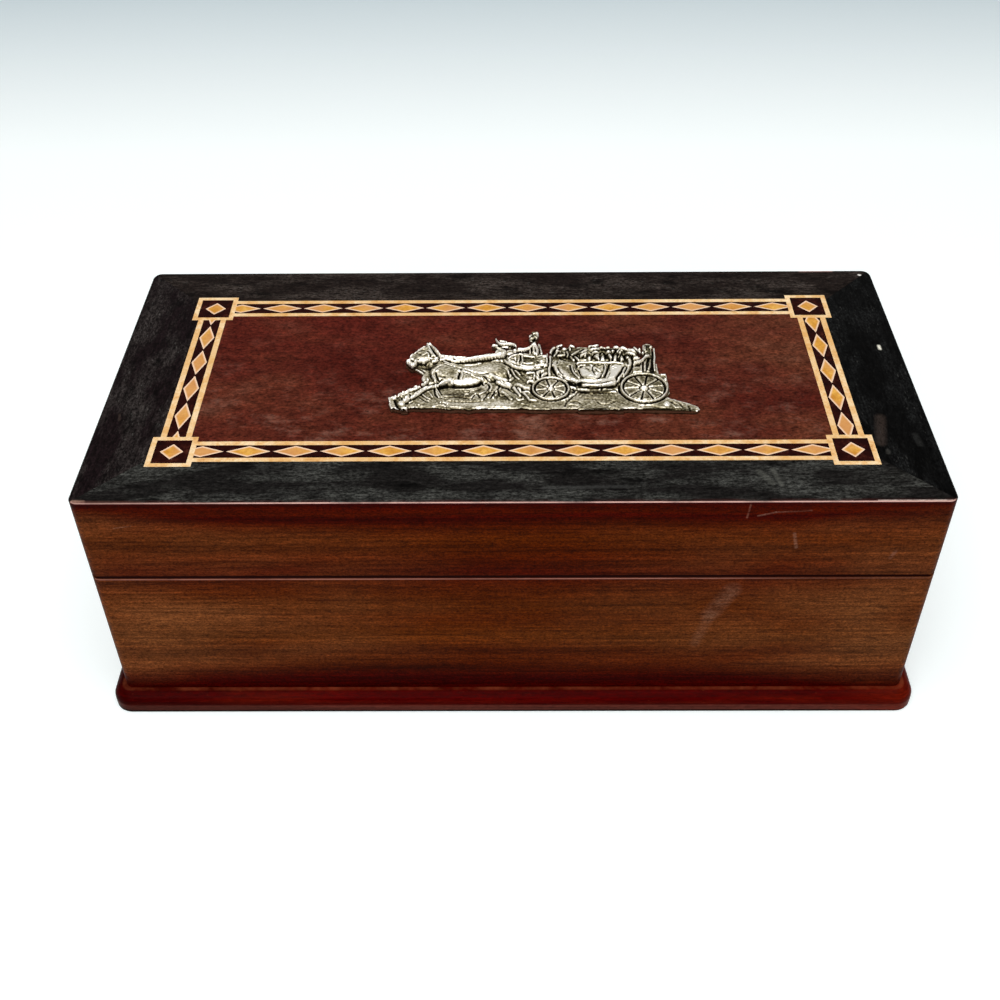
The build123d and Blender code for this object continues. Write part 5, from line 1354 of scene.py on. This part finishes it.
paint_light(0.4, (39.2, 2.5, 0.5), (42.1, 4.5, 0.5), (44.2, 6.3, 0.45))
paint_light(-0.6, (7.1, 15.8, 1.8), (7.7, 17.5, 1.9))
paint_light(-0.6, (40.4, -21.4, 1.2), (45.7, -21.7, 1.8), (55.1, -22.4, 1.4))
paint_light(-0.15, (4.4, 3.8, 2.0), (7.6, 3.5, 2.0))
paint_light(-0.5, (-30.0, 1.6, 0.5), (-28.2, 0.8, 0.8), (-25.9, 0.5, 1.0), (-24.0, 1.3, 0.8))
paint_light(-0.45, (-35.0, -14.6, 0.7), (-34.9, -17.9, 0.7), (-34.2, -19.7, 0.5))
paint_light(-0.4, (-19.7, -12.9, 1.6), (-16.7, -13.5, 2.0), (-13.6, -13.2, 1.8))
paint_light(-0.4, (14.4, 7.6, 2.4), (20.5, 7.3, 3.0))
paint_light(-0.35, (26.2, 7.3, 3.0), (35.0, 7.2, 3.4))
paint_light(-0.35, (36.2, 6.8, 2.5), (40.2, 6.8, 2.0))
paint_light(-0.45, (44.6, 10.9, 2.4), (43.9, -2.1, 2.2))
paint_light(0.3, (-16.3, -3.0, 2.2), (-10.0, -1.2, 2.4), (-5.2, -0.7, 2.2))
paint_light(0.3, (-20.5, -17.8, 1.4), (-11.2, -18.1, 1.5), (-0.4, -18.1, 1.5))
paint_light(0.5, (39.7, -18.9, 0.8), (40.0, -18.9, 0.8))
paint_light(0.5, (7.7, 12.4, 0.9), (8.2, 9.6, 1.1), (8.0, 7.4, 0.9))
paint_light(0.3, (21.8, -1.4, 1.2), (25.0, -0.9, 2.0), (28.1, -1.5, 1.4))
paint_light(-0.25, (3.8, 5.2, 1.4), (7.6, 4.9, 1.4))
paint_light(-0.35, (-9.8, -10.9, 1.6), (-5.1, -13.5, 2.0), (-0.4, -15.3, 1.4))
paint_light(
    -1.5, (19.2, -11.6, 0.5), (20.6, -12.0, 0.8), (22.6, -12.3, 0.85), (24.5, -12.3, 0.85),
    (27.6, -12.3, 0.85), (29.9, -12.1, 0.85), (32.5, -11.7, 0.6),
)
paint_light(
    -1.3, (17.7, -7.2, 0.35), (18.4, -7.5, 0.4), (20.6, -8.6, 0.45), (22.4, -9.1, 0.55),
    (24.6, -9.4, 0.55), (27.8, -9.3, 0.55), (30.1, -8.6, 0.55), (32.2, -7.8, 0.45),
    (33.4, -7.3, 0.35),
)
paint_light(
    -1.4, (-22.6, -9.0, 0.5), (-20.9, -8.5, 0.7), (-19.6, -8.0, 0.6), (-17.7, -8.7, 0.7),
    (-15.5, -9.0, 0.75), (-13.0, -8.7, 0.75), (-11.1, -8.0, 0.65), (-9.4, -7.0, 0.45),
)
paint_light(-0.5, (20.5, -10.2, 0.6), (24.6, -10.6, 0.6), (29.2, -10.6, 0.6), (32.4, -10.4, 0.5))
paint_light(-1.0, (6.0, 18.8, 0.6), (7.4, 20.4, 0.7), (8.7, 20.8, 0.7))
paint_light(-0.35, (15.0, 11.0, 1.4), (20.7, 11.2, 1.6), (26.4, 11.2, 1.6), (36.3, 10.5, 1.6))
paint_light(-0.7, (35.7, 12.7, 0.8), (39.0, 10.8, 0.9), (40.8, 8.2, 0.9))
paint_light(-0.5, (43.6, 12.7, 0.8), (45.6, 12.7, 0.8))

# Wheels: a raised rim, a groove inside it, and flat spokes that widen outwards, parted by narrow
# grooves, round a boss. A groove round part of each rim parts it from what is beside it.
rim_groove = 0.45
groove_level, disc_foot, disc_face, rim_top = 1.45, 1.5, 0.55, 1.0


def arc(x, y, radius, half_width, *angles):
    """Knots on a circle, at angles in radians."""
    return [(x + radius * np.cos(a), y + radius * np.sin(a), half_width) for a in angles]


def cast_wheel(x, y, radius, spokes, turn, ring, hub):
    """A wheel in low relief; ring is the width of its rim and turn the angle of a spoke."""
    around = np.hypot(X - x, Y - y)
    dish = radius - ring - rim_groove
    face = disc_foot + disc_face * np.clip((dish - around) / 0.3, 0, 1)
    level = np.where(around < dish, face, groove_level)
    casting["height"] = np.where(around < radius, level, casting["height"])
    casting["gap"] = np.minimum(casting["gap"], around - radius)
    rim = np.clip(1 - ((around - radius + ring / 2) / (ring / 2)) ** 2, 0, 1)
    raised = np.maximum(casting["height"], disc_foot + rim_top * np.sqrt(rim))
    casting["height"] = np.where(rim > 0, raised, casting["height"])
    for step in np.arange(spokes):
        angle = turn + step * 2 * pi / spokes
        carve(0.95, *arc(x, y, hub, 0.2, angle), *arc(x, y, radius - ring - 0.3, 0.3, angle))
    carve(0.6, *arc(x, y, hub, 0.26, *np.linspace(0, 2 * pi, 13)))
    dome(2.7, x, y, hub * 0.75, hub * 0.6, foot=1.8)
    # The disc and rim are made darker in the painted light layer, and a painted highlight lies
    # across the boss
    painted_wheel_shade = np.where(around < radius - ring, 0.2, 0.35)
    casting["painted_light"] -= painted_wheel_shade * (around < radius) * (around > hub)
    paint_light(0.5, (x - hub * 0.5, y, hub * 0.5), (x + hub * 0.5, y, hub * 0.5))


front_wheel, rear_wheel = (12.3, -10.4), (41.5, -10.1)
cast_wheel(*front_wheel, 5.9, 8, 0.25, 0.6, 1.1)
cast_wheel(*rear_wheel, 7.5, 10, 0.1, 0.7, 1.4)
carve(0.9, *arc(*rear_wheel, 7.8, 0.36, *np.linspace(2.9, 5.6, 16)))
carve(0.7, *arc(*front_wheel, 6.2, 0.3, *np.linspace(0.4, 5.9, 26)))

# The right end of the ground thins towards its tip
thin_start, thin_by, ground_top_y = 50.0, 0.8, -15.0
thinned = np.clip((X - thin_start) / (reach_x[1] - thin_start), 0, 1)
casting["height"] -= thinned * thin_by * (Y < ground_top_y)


def blurred(field, reach):
    """A field smoothed over a reach in millimetres."""
    steps = np.arange(-ceil(2 * reach / cell), ceil(2 * reach / cell) + 1)
    weights = np.exp(-((steps * cell / reach) ** 2))
    weights /= weights.sum()
    for axis in (0, 1):
        field = sum(w * np.roll(field, step, axis) for w, step in zip(weights, steps))
    return field


# The casting's skin: shallow dimples all over, and a value for the patina, which is low in the
# hollows and high on the crowns, with the painted highlights and painted shade added to it
dimple_depth, dimple_length = 0.05, 0.3
dimples = blurred(np.random.default_rng(4).normal(0.0, 1.0, X.shape), dimple_length)
dimples = dimple_depth * dimples / dimples.std()
height = np.clip(casting["height"] + dimples, least_height, crown_limit)
inside = casting["gap"] < cell / 2
lifted = np.where(inside, height, 0.6)
fine_hollow = (lifted - blurred(lifted, 0.4)) / 0.32
broad_hollow = (lifted - blurred(lifted, 1.2)) / 0.9
patina_and_painted_light = np.clip(0.8 * fine_hollow + 0.5 * broad_hollow, -1.3, 0.8)
wear_and_highlight = np.clip(1.2 + 2.2 * patina_and_painted_light, 0, 1) * np.clip((lifted - 1.6) / 0.3, 0, 1)
patina_and_painted_light += casting["painted_light"] * np.where(casting["painted_light"] > 0, wear_and_highlight, 1.0)

# The points next to the outline move onto it, so that it is smooth
slope_x, slope_y = np.gradient(casting["gap"], cell)
steep = np.maximum(np.hypot(slope_x, slope_y), 0.3)
at_edge = inside & (casting["gap"] > -cell / 2)
pull = np.where(at_edge, casting["gap"] / steep, 0.0)
place_x = np.clip(X - pull * slope_x / steep, *reach_x)
place_y = np.clip(Y - pull * slope_y / steep, *reach_y)

# The skin, the wall round it down to the lid, and the flat underside, as one mesh
numbers = np.full(X.shape, -1)
numbers[inside] = np.arange(inside.sum())
corners = (numbers[:-1, :-1], numbers[1:, :-1], numbers[1:, 1:], numbers[:-1, 1:])
skin = np.stack(corners, -1).reshape(-1, 4)
skin = skin[(skin >= 0).all(1)]
points = np.stack([place_x[inside], place_y[inside], height[inside]], -1)
edges = np.concatenate([skin[:, [side, (side + 1) % 4]] for side in range(4)])
pairs = {(a, b) for a, b in edges.tolist()}
rim = np.array([(a, b) for a, b in pairs if (b, a) not in pairs])
count, wall = len(points), len(rim)
first = count + 2 * np.arange(wall)
sides = np.stack([first + 1, first, first + 2 * wall, first + 2 * wall + 1], -1)
under = skin[:, ::-1] + count + 4 * wall
flat = (1, 1, 0)
points = np.vstack([points, points[rim.ravel()], points[rim.ravel()] * flat, points * flat])
tones = np.concatenate([patina_and_painted_light[inside], np.full(4 * wall, -0.12), np.full(count, -1.0)])
sheers = np.concatenate([np.zeros(count), np.ones(4 * wall), np.zeros(count)])
faces = np.vstack([skin, sides, under])
used = np.zeros(len(points), bool)
used[faces.ravel()] = True
renumber = np.cumsum(used) - 1
faces, points, tones, sheers = renumber[faces], points[used], tones[used], sheers[used]

relief_mesh = bpy.data.meshes.new("horse_and_carriage")
relief_mesh.from_pydata(((points + (0, 0, lid_top_z)) * millimetre).tolist(), [], faces.tolist())
relief_mesh.polygons.foreach_set("use_smooth", [True] * len(faces))
relief_mesh.attributes.new("patina_and_painted_light", "FLOAT", "POINT").data.foreach_set("value", tones)
relief_mesh.attributes.new("sheer", "FLOAT", "POINT").data.foreach_set("value", sheers)
relief_mesh.update()
relief = bpy.data.objects.new("horse_and_carriage", relief_mesh)
bpy.context.scene.collection.objects.link(relief)
wall_height = 2.0


def pewter(name, wear_and_highlight):
    """Cast pewter: a bright, slightly warm metal under dark olive patina, with a brown painted
    reflection of the wood on its wall, and painted shade at its top and foot.

    rubbed is how much brighter the whole piece is.
    """
    made, tree, shader = material(name)
    place, xyz = where(tree)
    # The patina value, with the painted highlights and painted shade added to it
    depth = put(tree, "Attribute", attribute_name="patina_and_painted_light").outputs["Fac"]
    tone = put(tree, "Math", depth, wear_and_highlight, operation="ADD")
    wear = noise(tree, place, (1.6, 1.6, 1.6), 7, detail=4.0, rough=0.7)
    patchy = noise(tree, place, (9, 9, 9), 3, detail=2.0)
    worn = put(tree, "MapRange", wear, 0.25, 0.75, -0.24, 0.24)
    uneven = put(tree, "MapRange", patchy, 0.3, 0.7, -0.1, 0.1)
    level = put(
        tree, "Math", put(tree, "Math", tone, worn, operation="ADD"), uneven, operation="ADD"
    )
    colour = put(
        tree,
        "ValToRGB",
        put(tree, "MapRange", level, -1.0, 1.0),
        stops=(
            (0.12, "#0b0905"),
            (0.3, "#2b2416"),
            (0.43, "#6b624a"),
            (0.53, "#a49b82"),
            (0.64, "#d8d0bd"),
            (0.78, "#fffaf0"),
        ),
    )
    green = noise(tree, place, (14, 14, 14), 12, detail=3.0)
    low = product(
        tree, put(tree, "MapRange", green, 0.45, 0.62), put(tree, "MapRange", level, 0.35, 0.0)
    )
    tint = product(tree, low, 0.3)
    colour = put(tree, "Mix", tint, colour, "#aeb488", data_type="RGBA", blend_type="MULTIPLY")
    # On the wall: a brown painted reflection of the wood, with painted shade at its top and at its
    # foot
    sheer = put(tree, "Attribute", attribute_name="sheer").outputs["Fac"]
    ragged = noise(tree, place, (3.0, 3.0, 0.7), 19, detail=3.0, rough=0.6)
    wander = put(tree, "MapRange", ragged, 0.3, 0.7, -0.35, 0.35)
    above = put(tree, "Math", xyz[2], wander, operation="ADD")
    edge = put(
        tree,
        "ValToRGB",
        put(tree, "MapRange", above, lid_top_z, lid_top_z + wall_height),
        stops=(
            (0.04, "#2a160c"),
            (0.22, "#84634d"),
            (0.5, "#95725b"),
            (0.68, "#3a2416"),
            (0.95, "#2a1a10"),
        ),
    )
    colour = put(tree, "Mix", product(tree, sheer, 0.85), colour, edge, data_type="RGBA")
    connect(
        tree,
        shader,
        Base_Color=colour,
        Metallic=1.0,
        Roughness=put(tree, "MapRange", level, -0.3, 0.8, 0.55, 0.36),
        Normal=put(tree, "Bump", Height=wear, Distance=0.08 * millimetre),
    )
    return made


relief_mesh.materials.append(pewter("pewter", 0.0))
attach(relief, "lid")
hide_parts("carriage_relief")
# The pins are brighter all over: polished, and with the highlight on their heads painted in
dress(pewter("pewter_pins", 0.75), "relief_pins")


# Hinges and their screws: two small butt hinges of pressed brass with turned pins, let into the
# back edges of the case and the lid and held by countersunk brass screws.
def brass():
    """Old brass: dull brownish yellow, brighter where it is less tarnished."""
    made, tree, shader = material("brass")
    place, xyz = where(tree)
    tarnish = noise(tree, place, (6, 6, 6), 7, detail=4.0, rough=0.65)
    colour = put(
        tree,
        "ValToRGB",
        tarnish,
        stops=((0.32, "#5a4122"), (0.5, "#94733a"), (0.68, "#b8954f")),
    )
    connect(
        tree,
        shader,
        Base_Color=colour,
        Metallic=1.0,
        Roughness=put(tree, "MapRange", tarnish, 0.3, 0.7, 0.5, 0.28),
        Normal=put(tree, "Bump", Height=tarnish, Distance=0.02 * millimetre),
    )
    return made


hinge_nodes = ("hinge_base_leaves", "hinge_lid_leaves", "hinge_pins")
dress(brass(), *hinge_nodes, "hinge_base_screws", "hinge_lid_screws")


# Board screws: six countersunk steel wood screws, driven up through the plinth board into the
# walls of the case.
def steel():
    """Plain steel gone dull grey."""
    made, tree, shader = material("steel")
    place, xyz = where(tree)
    dull = noise(tree, place, (3, 3, 3), 7, detail=4.0, rough=0.65)
    colour = put(tree, "ValToRGB", dull, stops=((0.32, "#5c5751"), (0.6, "#8f8c86")))
    relief = put(tree, "Bump", Height=dull, Distance=0.03 * millimetre)
    connect(tree, shader, Base_Color=colour, Metallic=1.0, Roughness=0.45, Normal=relief)
    return made


dress(steel(), "board_screws")


# Lining: thin wool felt cut to the floor of the case and glued down. Its cut edge wanders a little
# and its face lies in very shallow waves.
felt_step = 1.5 * millimetre
felt_wave = 0.12 * millimetre
felt_trim = 0.3 * millimetre
felt_low, felt_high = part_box("floor_lining")
felt_size = felt_high - felt_low

columns, rows = (ceil(side / felt_step) for side in felt_size.xy)
felt_rng = np.random.default_rng(11)
along, across = np.meshgrid(np.linspace(0, 1, columns + 1), np.linspace(0, 1, rows + 1))
edge = np.minimum.reduce([along, 1 - along, across, 1 - across])
felt_x = felt_low.x + felt_size.x * along
felt_y = felt_low.y + felt_size.y * across
trimmed = felt_trim * felt_rng.uniform(0.1, 1.0, along.shape) * (edge == 0)
felt_x += trimmed * np.sign(0.5 - along) * ((along == 0) | (along == 1))
felt_y += trimmed * np.sign(0.5 - across) * ((across == 0) | (across == 1))
waves = np.sin(31 * along + 5 * np.sin(9 * across)) * np.sin(14 * across + 4 * np.sin(17 * along))
felt_z = felt_high.z - felt_wave * (0.5 + 0.5 * waves)

face = np.stack([felt_x, felt_y, felt_z], axis=-1).reshape(-1, 3)
back = face.copy()
back[:, 2] = felt_low.z
place_of = np.arange(face.shape[0]).reshape(along.shape)
quads = np.stack(
    [place_of[:-1, :-1], place_of[:-1, 1:], place_of[1:, 1:], place_of[1:, :-1]], axis=-1
).reshape(-1, 4)
rim = np.concatenate(
    [place_of[0, :-1], place_of[:-1, -1], place_of[-1, :0:-1], place_of[:0:-1, 0]]
)
felt_back = face.shape[0]
rim_next = np.roll(rim, -1)
sides = np.stack([rim, rim + felt_back, rim_next + felt_back, rim_next], axis=-1)
felt_faces = np.concatenate([quads, quads[:, ::-1] + felt_back, sides])
felt_mesh = bpy.data.meshes.new("felt_lining")
felt_mesh.from_pydata(np.concatenate([face, back]).tolist(), [], felt_faces.tolist())
felt_lining = bpy.data.objects.new("felt_lining", felt_mesh)
bpy.context.scene.collection.objects.link(felt_lining)


def felt():
    """Pressed wool: matt wine red, with a lighter nap in places and a little lint."""
    made, tree, shader = material("felt")
    place, xyz = where(tree)
    fibre = noise(tree, place, (0.7, 0.7, 0.7), 7, detail=5.0, rough=0.75)
    nap = noise(tree, place, (18, 11, 11), 3, detail=3.0)
    colour = put(tree, "ValToRGB", fibre, stops=((0.3, "#3d0c10"), (0.6, "#5e151a")))
    colour = shaded(tree, colour, swing(tree, nap, 0.22))
    lint = noise(tree, place, (2.2, 0.5, 1.0), 17, detail=2.0, rough=0.7)
    linty = put(tree, "MapRange", lint, 0.66, 0.76, 0, 0.4)
    colour = put(tree, "Mix", linty, colour, "#8a5a58", data_type="RGBA")
    connect(
        tree,
        shader,
        Base_Color=colour,
        Roughness=0.95,
        Specular_IOR_Level=0.1,
        Sheen_Weight=0.08,
        Normal=put(tree, "Bump", Height=fibre, Distance=0.3 * millimetre),
    )
    return made


felt_mesh.materials.append(felt())
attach(felt_lining, "base")
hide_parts("floor_lining")

# Stage: a white paper sweep that lies flat under the box and turns up behind it. Towards its far
# end a painted shade makes its colour and glow darker and bluer. Two soft boxes, overhead and in
# front, and a pale room light it.
sweep_half_width = 1.6
sweep_front = -1.2
bend_start = 0.75
bend_radius = 0.3
sweep_steps = 16
dim_start, dim_end = 330.0, 640.0
paper_glow = 0.36
room_light, room_shine = 0.33, 0.75

profile = [(sweep_front, 0.0), (bend_start, 0.0)]
profile += [
    (bend_start + bend_radius * np.sin(angle), bend_radius * (1 - np.cos(angle)))
    for angle in np.linspace(0, pi / 2, sweep_steps)[1:]
]
sweep_mesh = bpy.data.meshes.new("sweep")
sweep_mesh.from_pydata(
    [(side * sweep_half_width, y, z) for y, z in profile for side in (-1, 1)],
    [],
    [(2 * i, 2 * i + 1, 2 * i + 3, 2 * i + 2) for i in range(len(profile) - 1)],
)
sweep_mesh.polygons.foreach_set("use_smooth", [True] * len(sweep_mesh.polygons))
sweep = bpy.data.objects.new("sweep", sweep_mesh)
bpy.context.scene.collection.objects.link(sweep)


def paper():
    """Matt white paper that keeps its white where the camera or a reflection sees it."""
    made, tree, shader = material("paper")
    place, xyz = where(tree)
    # A painted shade: the paper's colour and glow turn darker and bluer towards its far end
    painted_far_shade = put(tree, "MapRange", xyz[1], dim_start, dim_end)
    colour = put(tree, "Mix", painted_far_shade, "#e6e9e9", "#b9c6cc", data_type="RGBA")
    path = put(tree, "LightPath").outputs
    seen = put(tree, "Math", path["Is Camera Ray"], path["Is Glossy Ray"], operation="MAXIMUM")
    seen = put(tree, "Math", seen, path["Is Transmission Ray"], operation="MAXIMUM")
    connect(
        tree,
        shader,
        Base_Color=colour,
        Roughness=0.9,
        Emission_Color=put(tree, "Mix", painted_far_shade, "#f4ffff", "#9fb0b8", data_type="RGBA"),
        Emission_Strength=put(tree, "Math", seen, paper_glow, operation="MULTIPLY"),
    )
    return made


sweep_mesh.materials.append(paper())


def soft_box(name, place, target, size, power):
    """A rectangular soft light aimed at a point."""
    data = bpy.data.lights.new(name, "AREA")
    data.shape = "RECTANGLE"
    data.size, data.size_y = size
    data.energy = power
    lamp = bpy.data.objects.new(name, data)
    lamp.location = place
    lamp.rotation_euler = (Vector(target) - Vector(place)).to_track_quat("-Z", "Y").to_euler()
    bpy.context.scene.collection.objects.link(lamp)


soft_box("overhead", (0.0, -0.25, 1.25), (0, 0, 0.05), (1.3, 0.9), 10.5)
soft_box("front", (-0.2, -1.15, 0.95), (0, 0, 0.06), (1.2, 0.6), 8.0)

world = bpy.data.worlds.new("room")
world.use_nodes = True
room = world.node_tree
background = room.nodes["Background"]
background.inputs["Color"].default_value = linear("#eae9e6")
mirrored = put(room, "LightPath").outputs["Is Glossy Ray"]
strength = put(room, "MapRange", mirrored, 0.0, 1.0, room_light, room_shine)
feed(room, background.inputs["Strength"], strength)
bpy.context.scene.world = world

# Camera: about half a metre from the box, in front of it, and looking down at it by 42 degrees.
# It is held by hand, so it is turned and rolled a little.
camera_place = (-0.00028, -0.32486, 0.32808)
camera_down = 42.08
camera_turn = 0.667
camera_roll = -0.618
sensor_width = 36.0
focal_length = 45.18

camera_data = bpy.data.cameras.new("camera")
camera_data.sensor_width = sensor_width
camera_data.lens = focal_length
camera_data.clip_start = 0.01
camera = bpy.data.objects.new("camera", camera_data)
camera.matrix_world = (
    Matrix.Translation(camera_place)
    @ Matrix.Rotation(radians(camera_turn), 4, "Z")
    @ Matrix.Rotation(radians(90 - camera_down), 4, "X")
    @ Matrix.Rotation(radians(camera_roll), 4, "Z")
)
bpy.context.scene.collection.objects.link(camera)
bpy.context.scene.camera = camera
bpy.context.scene.view_settings.view_transform = "Standard"
